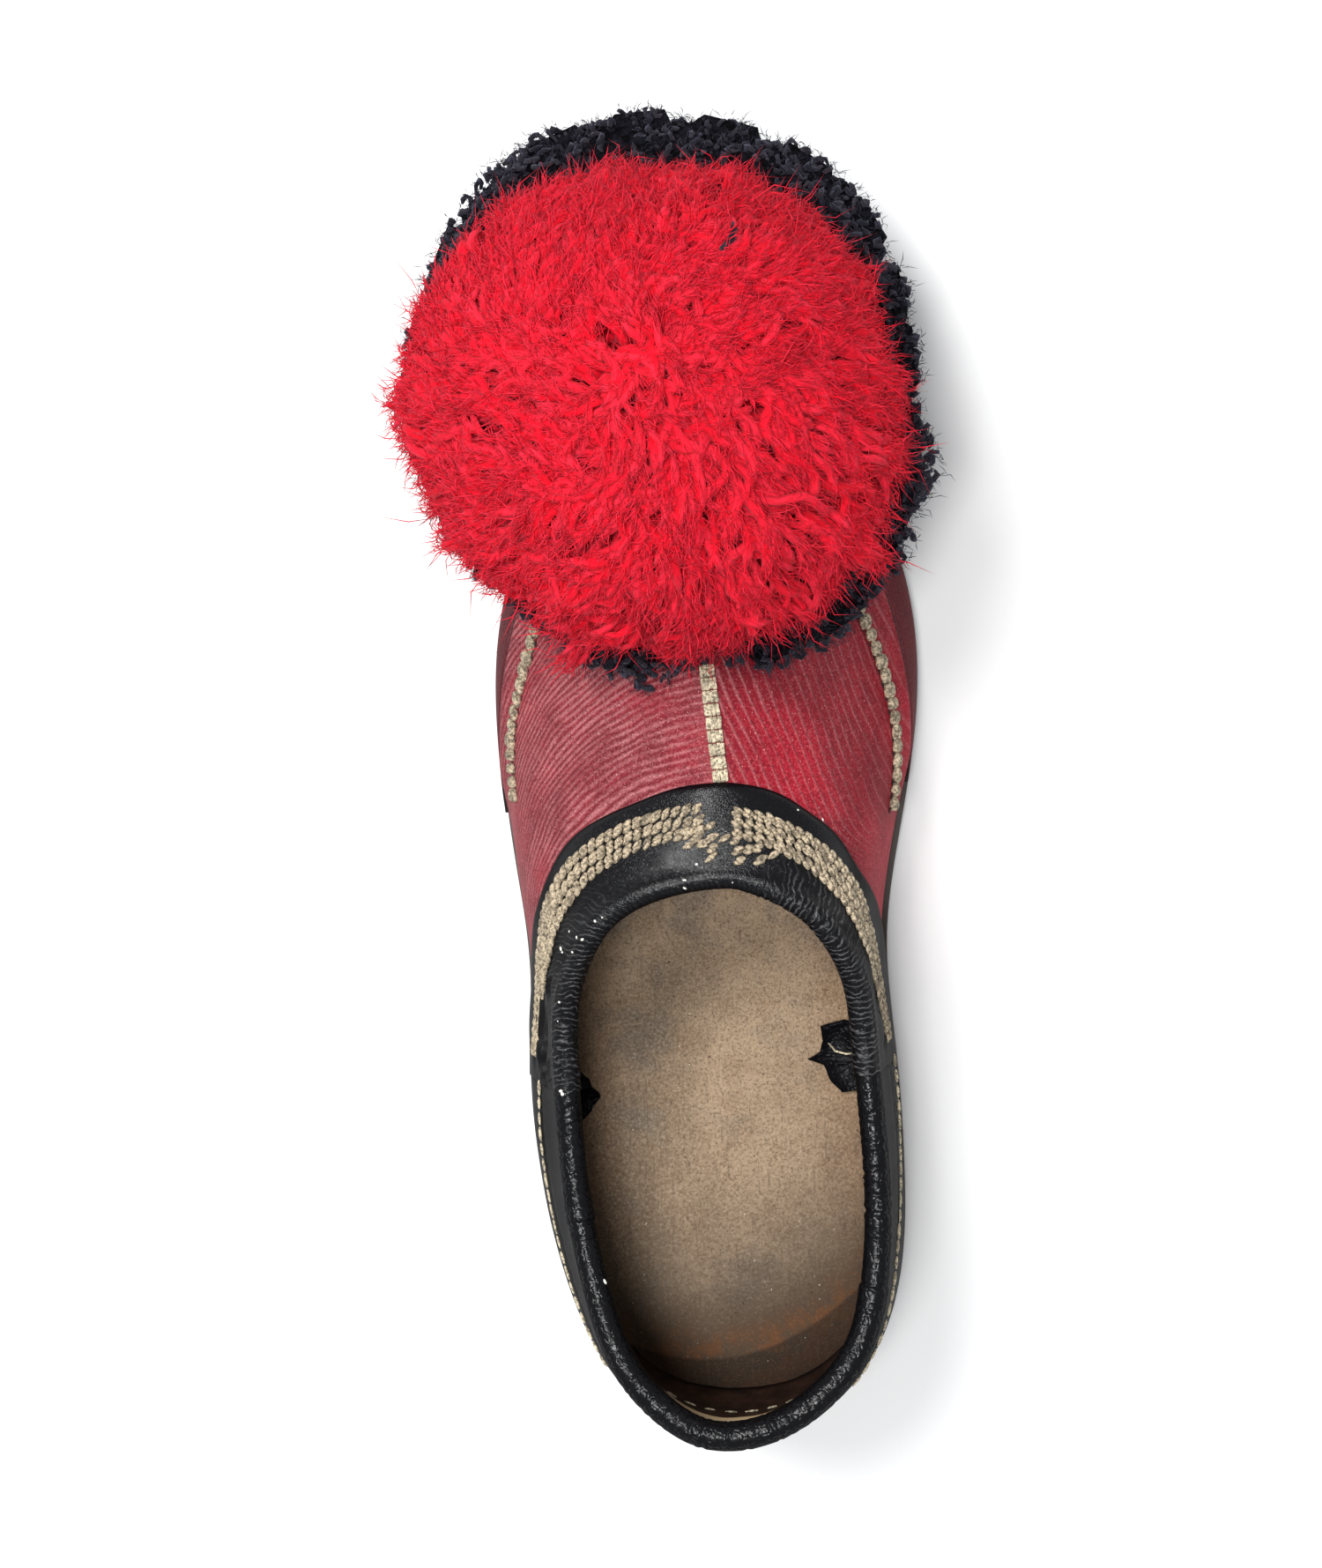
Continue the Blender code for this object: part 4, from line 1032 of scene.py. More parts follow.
def front_band_piece():
    """The front band and its rolled edge, one leather with wrinkles across the roll and long creases below it."""
    places = np.linspace(JOINT_OUTER - 0.02, JOINT_INNER + 0.02, 400)
    row = LAST.columns(places)
    length = LAST.lengths(places)
    low, band = lines(places)
    widest = (1.0 - band) * length
    share = np.linspace(1.0, 0.0, 17)
    down = widest[:, None] * share[None, :]
    down[:, -1] = 0.6
    around = ring_lengths(places)[:, None] + 0.0 * down
    depth = creased(around, down, places, BAND_CREASES)
    thick = rounded(widest[:, None] - down, 0.7, FACING)
    sway = outwards_sway(band_path(places, down, 0.0), 22.0, 0.25, 8) * smooth((widest[:, None] - down) / 3.0)
    outer = band_path(places, down, GAP + thick - depth + sway)
    inner = band_path(places, down, 0.12)
    radius = binding_radius(places)
    middle, out, up = roll_frames(places, radius)
    angles = np.linspace(-28.0, 222.0, 23)
    angle = angles[None, :] + 0.0 * places[:, None]
    roll_around = ring_lengths(places)[:, None] + 0.0 * angle
    wrinkles = wrinkled(roll_around, angle, places, ROLL_WRINKLES, 5)
    size = radius[:, None] + 0.10 - wrinkles
    turn = np.radians(angle)[:, :, None]
    spoke = np.cos(turn) * out[:, None, :] + np.sin(turn) * up[:, None, :]
    roll = middle[:, None, :] + size[:, :, None] * spoke
    core = middle[:, None, :] + 0.3 * radius[:, None, None] * spoke
    outer = np.concatenate([outer, roll], axis=1)
    inner = np.concatenate([inner, core], axis=1)
    turn = np.concatenate([-30.0 - 12.0 * down, angle], axis=1)
    crossing = ring_lengths(places)[:, None] + 1.3 * ((turn - 80.0) / 90.0) ** 2
    strong = np.interp(places, (5.0, 6.6, 8.4, 16.0, 17.4, 21.0), (1.0, 1.0, 0.12, 0.12, 1.0, 1.0))[:, None]
    wrinkle = strong * (0.30 + 0.70 * smooth((turn + 60.0) / 50.0)) * smooth((turn + 150.0) / 60.0)
    return plate("collar_front", outer, inner, False, turn=turn, crossing=crossing, wrinkle=wrinkle)


def back_band_piece():
    places = np.linspace(JOINT_INNER - TURN + 0.01, JOINT_OUTER - 0.01, 250)
    length = LAST.lengths(places)
    _, band = lines(places)
    widest = (1.0 - band) * length
    down = widest[:, None] * np.linspace(1.0, 0.0, 18)[None, :]
    scallop = 0.35 * np.cos(ring_lengths(places) / 4.0 * 2 * np.pi)
    down[:, :2] += scallop[:, None]
    thick = rounded(widest[:, None] - down + 0.4, 0.7, FACING)
    groove = 0.35 * np.exp(-(((widest[:, None] - down) - 2.6) / 0.8) ** 2)
    sway = outwards_sway(band_path(places, down, 0.0), 24.0, 0.2, 18)
    outer = band_path(places, down, GAP + thick - groove + sway)
    inner = band_path(places, down, 0.12)
    return plate("collar_back", outer, inner, False)


def quarter_piece():
    places = np.linspace(JOINT_INNER - TURN + 0.01, JOINT_OUTER - 0.01, 180)
    length = LAST.lengths(places)
    _, band = lines(places)
    heights = band[:, None] * np.linspace(0.0, 1.0, 16)[None, :]
    up = heights * length[:, None]
    fade = smooth(up / 8.0)
    sway = outwards_sway(skin(places, heights, 0.0), 40.0, 0.5, 28) * fade
    outer = seated(skin(places, heights, GAP + FACING * 0.8 + sway))
    inner = seated(skin(places, heights, 0.1))
    return plate("quarter_leather", outer, inner, False)


def binding_piece():
    """The separate rolled binding round the back, with its lapped joins."""
    places = np.linspace(JOINT_INNER - TURN + 0.005, JOINT_OUTER - 0.005, 560)
    radius = binding_radius(places)
    middle, out, up = roll_frames(places, radius)
    middle += BINDING_OUT * (0.5 + 0.5 * np.cos(2 * np.pi * places / TURN))[:, None] ** 2 * out
    angle = np.linspace(0.0, 360.0, 25)[None, :-1] + 0.0 * places[:, None]
    around = ring_lengths(places)[:, None] + 0.0 * angle
    wrinkles = wrinkled(around, angle, places, BINDING_WRINKLES, 15, -60.0, 230.0)
    size = radius[:, None] - wrinkles
    for lap in BINDING_LAPS:
        at = np.interp(lap, places, around[:, 0])
        beyond = around - at - 0.6 * np.sin(np.radians(angle))
        size += 0.28 * smooth(beyond / 0.5) * (1.0 - smooth(beyond / 14.0)) - 0.25 * np.exp(-((beyond + 0.3) / 0.35) ** 2)
    turn = np.radians(angle)[:, :, None]
    ring = middle[:, None, :] + size[:, :, None] * (np.cos(turn) * out[:, None, :] + np.sin(turn) * up[:, None, :])
    return loop_grid("binding", ring, False)


def lining_inset(places, share):
    """How far the heel's lining stands in from the wall at a share of its height."""
    sweep = np.cos(np.clip(places / LINING_END, -1, 1) * np.pi / 2)[:, None] ** 0.6
    share = np.atleast_1d(share)
    inset = 0.5 + sweep * (LINING_SWEEP * (1.0 - share) ** 1.6 + 1.0 * share**3)[None, :]
    return inset[:, 0] if len(share) == 1 else inset


def heel_lining_piece():
    """Brown lining round the inside of the heel, swept in to meet the insole."""
    places = np.linspace(-LINING_END, LINING_END, 150)
    length = LAST.lengths(places)
    low, high = 2.4, length - LINING_DROP
    share = np.linspace(0.0, 1.0, 15)
    up = low + (high[:, None] - low) * share[None, :]
    inset = lining_inset(places, share)
    base = skin(places, up / length[:, None], 0.0)
    inset = inset + outwards_sway(base, 14.0, 0.25, 38)
    outer = skin(places, up / length[:, None], -WALL - 0.15)
    inner = skin(places, up / length[:, None], -WALL - 0.15 - inset)
    edge = (high - low)[:, None] * (1.0 - share)[None, :]
    made = plate("heel_lining", inner, outer, False, edge=edge)
    return made


LINING_END = 3.4  # stations to each side of the heel's back
LINING_DROP = 11.0
LINING_SWEEP = 3.6


def rand_piece():
    places = np.linspace(*RAND_ENDS, 260)
    low, _ = lines(places)
    length = LAST.lengths(places)
    heights = low[:, None] * np.linspace(0.0, 1.0, 12)[None, :]
    edge = (low[:, None] - heights) * length[:, None]
    thick = rounded(edge, 0.6, RAND)
    outer = seated(skin(places, heights, GAP + thick))
    inner = seated(skin(places, heights, 0.1))
    along = ring_lengths(places)[:, None] + 0.0 * edge
    return plate("rand", outer, inner, False, along=along, across=edge, lateral=0.0 * edge + 0.3, edge=edge)


def stitched_row(name, places, up, offset, pitch, sizes, turn, template, seed, lift=0.0):
    """A row of plump stitches on the wall, at lengths up from the sole."""
    generator = np.random.default_rng(seed)
    fine = np.linspace(places[0], places[-1], 400)
    points, normals = on_wall(fine, np.interp(fine, places, up), np.interp(fine, places, offset) + lift)
    centres, ups, along = even_row(points, normals, pitch)
    count = len(centres)
    sizes = np.array(sizes) * generator.uniform(0.88, 1.12, (count, 3))
    turn = turn + generator.normal(0.0, 0.10, count)
    return stamped(name, template, centres, along, ups, sizes, turn,
                   tone=generator.uniform(0, 1, count), along=np.arange(count) * pitch, across=np.zeros(count)), \
        (centres, ups, along)


def joined(name, pieces):
    bpy.ops.object.select_all(action="DESELECT")
    for piece in pieces:
        piece.select_set(True)
    bpy.context.view_layer.objects.active = pieces[0]
    bpy.ops.object.join()
    made = bpy.context.view_layer.objects.active
    made.name = made.data.name = name
    return made


MOTIF = ((-0.6, 141.4), (2.4, 141.6), (4.8, 142.2), (5.1, 139.7), (7.9, 139.3), (10.3, 138.7), (1.7, 139.8),
         (3.0, 138.4), (5.1, 137.3), (0.0, 138.3), (4.7, 135.3), (10.6, 136.4), (12.9, 136.5), (14.9, 136.6),
         (10.9, 134.2), (15.4, 134.0), (18.4, 135.0))  # x and y of single stitches
SPECKS = ((-1.5, 130.7, 0.45), (1.3, 134.0, 0.4), (-1.6, 128.9, 0.45), (-28.8, 120.6, 0.3), (-26.9, 119.3, 0.45),
          (-25.5, 118.8, 0.4), (-34.6, 83.9, 0.8), (-34.3, 83.2, 0.5), (-31.3, 116.7, 0.6), (-31.0, 115.9, 0.4),
          (-28.2, 116.0, 0.35), (-22.2, 122.8, 0.35), (-32.7, 104.6, 0.35), (-26.9, 40.7, 0.6), (24.0, 144.4, 0.35),
          (29.1, 141.8, 0.35), (-33.6, 100.2, 0.25), (-20.5, 123.5, 0.25), (9.0, 129.5, 0.25))  # x, y and size


def tree_on(piece):
    mesh = piece.data
    return BVHTree.FromPolygons([vert.co.copy() for vert in mesh.vertices], [list(face.vertices) for face in mesh.polygons])


def dropped(tree, flat):
    """Points and normals where plumb lines through (x, y) places meet the shoe from above."""
    points, normals = [], []
    for x, y in flat:
        hit, normal, _, _ = tree.ray_cast(Vector(((x - ORIGIN[0]) * MM, (y - ORIGIN[1]) * MM, 0.2)), Vector((0, 0, -1)))
        if hit is None:
            raise RuntimeError(f"no leather under the stitch at {x}, {y}")
        points.append(np.array(hit) / MM + ORIGIN)
        normals.append(np.array(normal))
    return np.array(points), np.array(normals)


def two_ply(name, template, centres, ups, along, size, slant, generator):
    """Stitches of two strands laid side by side and turned together across the row."""
    count = len(centres)
    slant = slant + generator.normal(0, 0.12, count)
    side = np.cross(ups, along)
    size = np.broadcast_to(size, (count, 3)) * generator.uniform(0.84, 1.16, (count, 3))
    tone = generator.uniform(0, 1, count)
    strands = []
    for number, shift in enumerate((-0.5, 0.5)):
        sizes = size * (1.0, 0.66, 1.0)
        middle = centres + side * (shift * size[:, 1:2]) + along * (0.25 * shift * size[:, :1]) + ups * (0.08 * number)
        strands.append(stamped(f"{name}_{number}", template, middle, along, ups, sizes, slant,
                               tone=(tone + 0.3 * number) % 1.0))
    return strands


def chain_rows(template):
    """Three rows of chain stitch on the front band, on both sides of its middle."""
    pieces = []
    for side, table in (("lateral", CHAIN_LATERAL), ("medial", CHAIN_MEDIAL)):
        places, outer, inner = np.array(table).T
        for number, share in enumerate((0.0, 0.5, 1.0)):
            down = outer + (inner - outer) * share
            fine = np.linspace(places[0], places[-1], 200)
            up = LAST.lengths(fine) - np.interp(fine, places, down)
            points, normals = on_wall(fine, up, np.full(200, GAP + FACING + 0.15))
            centres, ups, along = even_row(points, normals, size_of("stitch_pitch"))
            generator = np.random.default_rng(40 + number + 10 * (side == "medial"))
            slant = 0.45 if side == "lateral" else -0.45
            share = np.linspace(0.0, 1.0, len(centres))
            front = share if side == "lateral" else 1.0 - share
            narrow = (0.58 + 0.42 * smooth(front / 0.55))[:, None]
            size = size_of("stitch_pitch") * np.array((0.60, 0.42, 0.36)) * np.concatenate([narrow**0.3, narrow, narrow], axis=1)
            pieces += two_ply(f"chain_{side}_{number + 1}", template, centres, ups, along, size, slant, generator)
    return joined("chain_stitches", pieces)


def rope_rows(template):
    """Rope-like seams along both sides of the vamp, with dark marks beside them that paint the shade in the awl holes.
    """
    pieces, holes = [], []
    for side, table, turn in (("lateral", SIDE_SEAM_LATERAL, 0.42), ("medial", SIDE_SEAM_MEDIAL, -0.42)):
        places, up = np.array(table).T
        fine = np.linspace(places[0], places[-1], 200)
        up = np.interp(fine, places, up)
        lap = lap_height(fine, (up / LAST.lengths(fine))[:, None])[:, 0]
        points, normals = on_wall(fine, up, lap + 0.55)
        centres, ups, along = even_row(points, normals, 3.4)
        generator = np.random.default_rng(60 + len(pieces))
        pieces += two_ply("rope_" + side, template, centres, ups, along, (1.95, 1.5, 1.2), turn, generator)
        for shift in (1.75, -1.6):
            points, normals = on_wall(fine, up + shift, lap + 0.02)
            centres, ups, along = even_row(points, normals, 3.4)
            # Dark flat marks for the awl holes: painted shade in place of real holes.
            holes.append(stamped("holes_" + side, template, centres + along * 1.2, along, ups, (0.8, 0.45, 0.14), 0.4,
                                 tone=np.zeros(len(centres))))
    return joined("side_ropes", pieces), joined("awl_holes", holes)


def block(round_off=0.35):
    """The mesh of one square stitch, a block with rounded edges, as a template."""
    bpy.ops.object.select_all(action="DESELECT")
    bpy.ops.mesh.primitive_cube_add(size=2.0)
    made = bpy.context.object
    soften = made.modifiers.new("edge", "BEVEL")
    soften.width = round_off
    soften.segments = 2
    apply_modifiers(made)
    mesh = made.data
    bpy.data.objects.remove(made)
    return mesh


def block_stitches(template, square, tree, band_tree):
    """The centre strip's two columns of square stitches, and the small motif on the band below it."""
    start, middle, end = (np.array(row) for row in CENTRE_SEAM)
    path = np.concatenate([np.linspace(start, middle, 4)[:-1], np.linspace(middle, end, 16)])
    points, normals = dropped(tree, path)
    centres, ups, along = even_row(points, normals, 3.05)
    side = np.cross(ups, along)
    pieces = []
    generator = np.random.default_rng(80)
    for number, shift in enumerate((-CENTRE_SEAM_SPREAD, CENTRE_SEAM_SPREAD)):
        count = len(centres)
        for part in (-0.42, 0.42):
            sizes = np.array((1.38, 0.47, 0.62)) * generator.uniform(0.9, 1.1, (count, 3))
            pieces.append(stamped(f"centre_{number + 1}", square, centres + side * (shift + part) + ups * 0.15, along, ups,
                                  sizes, generator.normal(0, 0.06, count), tone=generator.uniform(0, 1, count)))
    motif, motif_up = dropped(band_tree, MOTIF)
    level = np.tile((0.94, -0.34, 0.0), (len(motif), 1))
    blocks = two_ply("motif", template, motif + motif_up * 0.15, motif_up, level, (1.3, 0.95, 0.85), 0.5, generator)
    return joined("centre_stitches", pieces), joined("motif_stitches", blocks)


def speck_piece(trees):
    """Pale crumbs caught on the collar."""
    places, ups = [], []
    for x, y, _ in SPECKS:
        found = []
        for tree in trees:
            try:
                found.append(dropped(tree, [(x, y)]))
            except RuntimeError:
                continue
        point, normal = max(found, key=lambda pair: pair[0][0][2])
        places.append(point[0])
        ups.append(normal[0])
    places, ups = np.array(places), np.array(ups)
    generator = np.random.default_rng(70)
    along = np.cross(ups, generator.normal(0, 1, ups.shape))
    along /= np.linalg.norm(along, axis=1, keepdims=True)
    sizes = np.array(SPECKS)[:, 2:] * generator.uniform(0.6, 1.2, (len(places), 3)) * (1.0, 0.8, 0.35)
    return stamped("specks", bead(6, 5), places, along, ups, sizes, 0.0, tone=generator.uniform(0, 1, len(places)))


def heel_stitches(template):
    """Running stitches half way up the heel's lining."""
    places = np.linspace(-2.9, 2.9, 240)
    share = 0.52
    up = 2.4 + (LAST.lengths(places) - LINING_DROP - 2.4) * share
    points, normals = on_wall(places, up, -WALL - 0.15 - lining_inset(places, share) - 0.12)
    centres, ups, along = even_row(points, -normals, 4.9)
    generator = np.random.default_rng(95)
    sizes = np.array((1.55, 0.36, 0.3)) * generator.uniform(0.8, 1.2, (len(centres), 3))
    return stamped("heel_stitches", template, centres, along, ups, sizes, generator.normal(0, 0.12, len(centres)),
                   tone=generator.uniform(0, 1, len(centres)))


def tab_piece(name, outline, seed):
    """A loose leather tab, crinkled and a little curled."""
    low = insole_top
    made = board(name + "_leather", outline, lambda y: low(y) + GAP, lambda y: low(y) + GAP + 1.0, 1.6, 0.0)
    in_edit_mode(made)
    bpy.ops.mesh.select_all(action="SELECT")
    bpy.ops.mesh.quads_convert_to_tris()
    bpy.ops.mesh.subdivide(number_cuts=2)
    bpy.ops.object.mode_set(mode="OBJECT")
    points = np.array([vert.co for vert in made.data.vertices]) / MM + ORIGIN
    flat = points * (1.0, 1.0, 0.0)
    crinkle = outwards_sway(flat, 7.0, 1.6, seed) + outwards_sway(flat, 2.6, 0.8, seed + 1) + 0.7
    sideways = outwards_sway(flat, 3.5, 1.1, seed + 2)
    for vert, rise, shift in zip(made.data.vertices, crinkle, sideways):
        vert.co.z += max(float(rise), 0.0) * MM
        vert.co.x += float(shift) * MM * 0.6
    made.data.shade_smooth()
    return made


def tab_thread():
    """A loose end of pale thread on the tab at the right."""
    path = np.array(((25.0, 87.4), (26.6, 85.6), (29.0, 84.8), (31.8, 84.9), (33.6, 83.6)))
    height = insole_top(path[:, 1]) + GAP + np.array((1.9, 2.6, 2.3, 2.7, 2.2))
    paths = np.concatenate([path, height[:, None]], axis=1)[None]
    return tubes("tab_thread", paths, np.full((1, 5), 0.28), 5, np.array(((0.0, 0.0, 1.0),)), tone=np.array((0.4,)))


TABS = {
    "tab_lateral": ((-41.5, 73.5), (-35.6, 72.3), (-32.9, 74.6), (-30.8, 77.6), (-32.6, 80.0), (-33.2, 82.0), (-37.0, 85.5),
                    (-41.5, 84.5)),
    "tab_medial": ((35.5, 76.5), (35.5, 91.0), (29.0, 92.6), (22.8, 91.4), (23.6, 88.0), (23.0, 85.6), (19.6, 83.9),
                   (23.4, 82.4), (25.4, 78.6), (27.5, 75.8)),
}


BACK_ROW_LATERAL = ((5.02, 14.8), (4.04, 17.7), (3.16, 19.6), (2.2, 20.5))  # place, down from the rim
BACK_ROW_MEDIAL = ((20.95, 24.0), (21.34, 22.0), (22.02, 17.7), (22.64, 14.8), (23.4, 16.5), (24.2, 19.0))


def back_rows(template):
    pieces = []
    for side, table in (("lateral", BACK_ROW_LATERAL), ("medial", BACK_ROW_MEDIAL)):
        places, down = np.array(sorted(table)).T
        fine = np.linspace(places[0], places[-1], 200)
        up = LAST.lengths(fine) - np.interp(fine, places, down)
        points, normals = on_wall(fine, up, np.full(200, GAP + FACING + 0.1))
        centres, ups, along = even_row(points, normals, 3.6)
        count = len(centres)
        generator = np.random.default_rng(90 + len(pieces))
        sizes = np.array((1.75, 0.42, 0.42)) * generator.uniform(0.85, 1.15, (count, 3))
        pieces.append(stamped("back_" + side, template, centres, along, ups, sizes, 0.15, tone=generator.uniform(0, 1, count)))
    return joined("back_stitches", pieces)


class TSAROUHI_OT_stitches(bpy.types.Operator):
    """Every row of stitches, with the painted shade of its awl holes, and the two loose tabs inside"""
    bl_idname = "tsarouhi.stitches"
    bl_label = "Stitches and tabs"

    def execute(self, context):
        template = bead(6, 5)
        vamp, band = bpy.data.objects["vamp"], bpy.data.objects["collar_front"]
        beige = finish_once("beige linen thread", lambda name: linen_thread(name, "thread", 0.85))
        pale = finish_once("pale linen thread", lambda name: linen_thread(name, "pale_thread", 0.5))
        settle(dressed(chain_rows(template), beige), "thread")
        ropes, holes = rope_rows(template)
        settle(dressed(ropes, beige), "thread", "side_seam_lateral", "side_seam_medial")
        # The awl holes' near-black colour is painted shade.
        settle(dressed(holes, finish_once("awl holes", lambda name: plain(name, (0.01, 0.006, 0.006), 0.9))), "thread")
        centre, motif = block_stitches(template, block(), tree_on(vamp), tree_on(band))
        settle(dressed(centre, pale), "thread", "centre_seam")
        settle(dressed(motif, beige), "thread")
        settle(dressed(back_rows(template), pale), "thread")
        settle(dressed(heel_stitches(template), pale), "thread")
        names = ("collar_front", "binding", "collar_back", "vamp")
        trees = [tree_on(bpy.data.objects[name]) for name in names]
        settle(dressed(speck_piece(trees), finish_once("pale crumbs", lambda name: plain(name, (0.80, 0.77, 0.70), 0.6))), "thread")
        worn = finish_once("dull black leather", lambda name: black_leather(name, 0.7, 0.12, 0.12))
        for number, (name, outline) in enumerate(TABS.items()):
            settle(dressed(tab_piece(name, np.array(outline), 50 + number), worn), "black_leather", name)
        settle(dressed(tab_thread(), pale), "thread")
        return {"FINISHED"}


# Wool

LOCK_POINTS = 6
MIDDLE_ROPES = 84
# Where the black wool bulges: degrees round it, how far in millimetres, and width in degrees
BLACK_LUMPS = ((272.0, 3.4, 22.0), (348.0, 3.0, 9.0), (328.0, 2.0, 7.0), (118.0, 2.5, 12.0), (150.0, 1.5, 9.0))
# Tufts that pass the outline: degrees round the dome, how far as a part of its radius, and width in degrees
RED_TUFTS = ((248.0, 0.20, 3.5), (96.0, 0.10, 4.5), (178.0, 0.09, 3.5), (4.0, 0.06, 4.0), (124.0, 0.05, 5.0),
             (62.0, 0.04, 5.0), (212.0, 0.04, 4.0), (322.0, 0.05, 4.0), (286.0, 0.04, 4.0))


def tubes(name, paths, radii, sides, up, **values):
    """Closed tubes along paths [tubes, points, 3], with a radius at each point and values for the material."""
    count, length = paths.shape[:2]
    tangents = np.gradient(paths, axis=1)
    tangents /= np.linalg.norm(tangents, axis=2, keepdims=True) + 1e-9
    side = np.cross(tangents, up[:, None, :])
    side /= np.linalg.norm(side, axis=2, keepdims=True) + 1e-9
    second = np.cross(side, tangents)
    turn = 2 * np.pi * np.arange(sides) / sides
    ring = (np.cos(turn)[None, None, :, None] * side[:, :, None, :] + np.sin(turn)[None, None, :, None] * second[:, :, None, :])
    points = paths[:, :, None, :] + radii[:, :, None, None] * ring
    index = np.arange(count * length * sides).reshape(count, length, sides)
    across = np.roll(index, -1, axis=2)
    quads = np.stack([index[:, :-1], across[:, :-1], across[:, 1:], index[:, 1:]], axis=-1).reshape(-1, 4)
    starts, ends = index[:, 0, ::-1], index[:, -1]
    made = mesh_object(name, points.reshape(-1, 3), [quads, starts, ends])
    shape = (count, length, sides)
    add_values(made, along=np.broadcast_to(np.linspace(0, 1, length)[None, :, None], shape),
               around=np.broadcast_to((turn / (2 * np.pi))[None, None, :], shape),
               **{key: np.broadcast_to(value[:, None, None], shape) for key, value in values.items()})
    return made


def spindles(name, strands, radii, up, **values):
    """Closed fibres of six faces, from the first of three points past the middle one to the last."""
    count = len(strands)
    heading = strands[:, 2] - strands[:, 0]
    heading /= np.linalg.norm(heading, axis=1, keepdims=True) + 1e-9
    side = np.cross(heading, up)
    side /= np.linalg.norm(side, axis=1, keepdims=True) + 1e-9
    second = np.cross(heading, side)
    turn = 2 * np.pi * np.arange(3) / 3
    ring = (strands[:, 1][:, None] + radii[:, None, None]
            * (np.cos(turn)[None, :, None] * side[:, None] + np.sin(turn)[None, :, None] * second[:, None]))
    points = np.concatenate([strands[:, :1], ring, strands[:, 2:]], axis=1)
    base = 5 * np.arange(count)[:, None]
    faces = np.concatenate([base + np.array(corner) for corner in
                            ((0, 2, 1), (0, 3, 2), (0, 1, 3), (4, 1, 2), (4, 2, 3), (4, 3, 1))])
    made = mesh_object(name, points.reshape(-1, 3), [faces])
    shape = (count, 5)
    add_values(made, along=np.broadcast_to(np.array((0.2, 0.6, 0.6, 0.6, 1.0)), shape), around=np.zeros(shape),
               **{key: np.broadcast_to(value[:, None], shape) for key, value in values.items()})
    return made


def pompom_to_shoe(points):
    tilt = math.radians(-POMPOM_TILT)
    turn = np.array([[1, 0, 0], [0, math.cos(tilt), -math.sin(tilt)], [0, math.sin(tilt), math.cos(tilt)]])
    return points @ turn.T + np.array(POMPOM_CENTRE)


def dome(direction, lift, scale):
    """Points of the red dome in the pompom's coordinates, at degrees round it and radians above its middle."""
    table = np.array(RED_OUTLINE)
    radius = np.interp(np.degrees(direction) % 360.0, table[:, 0], table[:, 1], period=360.0)
    return np.stack([radius * np.cos(lift) * np.cos(direction), radius * np.cos(lift) * np.sin(direction),
                     RED_TOP * np.sin(lift)], axis=-1) * np.asarray(scale)[..., None] + (0.0, 0.0, FLATTENED * RED_HEIGHT)


def dome_spots(count, generator, lowest=-0.24):
    """Evenly spread directions on the dome, a little disturbed."""
    number = np.arange(count) + 0.5
    rise = 1.0 - (1.0 - math.sin(lowest)) * number / count
    lift = np.arcsin(np.clip(rise + generator.normal(0, 0.012, count), -0.3, 1.0))
    direction = number * math.pi * (3.0 - math.sqrt(5.0)) + generator.normal(0, 0.03, count)
    return direction, lift


def combed(direction, lift):
    """Outward and combed unit directions on the dome."""
    step = 1e-3
    middle = dome(direction, lift, np.ones(direction.shape))
    sideways = dome(direction + step, lift, np.ones(direction.shape)) - middle
    upwards = dome(direction, lift - step, np.ones(direction.shape)) - middle
    outwards = np.cross(upwards, sideways)
    outwards /= np.linalg.norm(outwards, axis=1, keepdims=True) + 1e-12
    away = middle[:, :2] - np.array([3.0, 2.0])
    angle = np.degrees(np.arctan2(away[:, 1], away[:, 0])) % 360.0
    table = np.array(SWIRL)
    turned = np.radians(angle + np.interp(angle, table[:, 0], table[:, 1]))
    flow = np.stack([np.cos(turned), np.sin(turned), -np.sqrt(np.clip((away**2).sum(axis=1), 0, None)) / 70.0], axis=1)
    flow -= (flow * outwards).sum(axis=1, keepdims=True) * outwards
    flow /= np.linalg.norm(flow, axis=1, keepdims=True) + 1e-12
    return outwards, flow


def turned_about(vectors, axes, angles):
    """Vectors square to their axes, turned about them."""
    return vectors * np.cos(angles)[:, None] + np.cross(axes, vectors) * np.sin(angles)[:, None]


def drift(points, size, seed):
    """A slow smooth value from about -1 to 1 at each point, for patches that lie one way."""
    generator = np.random.default_rng(seed)
    total = np.zeros(len(points))
    for _ in range(8):
        wave = generator.normal(0.0, 1.0, 3)
        wave /= np.linalg.norm(wave) * size * generator.uniform(0.7, 1.5)
        total += np.sin(points @ wave * 2 * np.pi + generator.uniform(0, 7))
    return total / 2.8


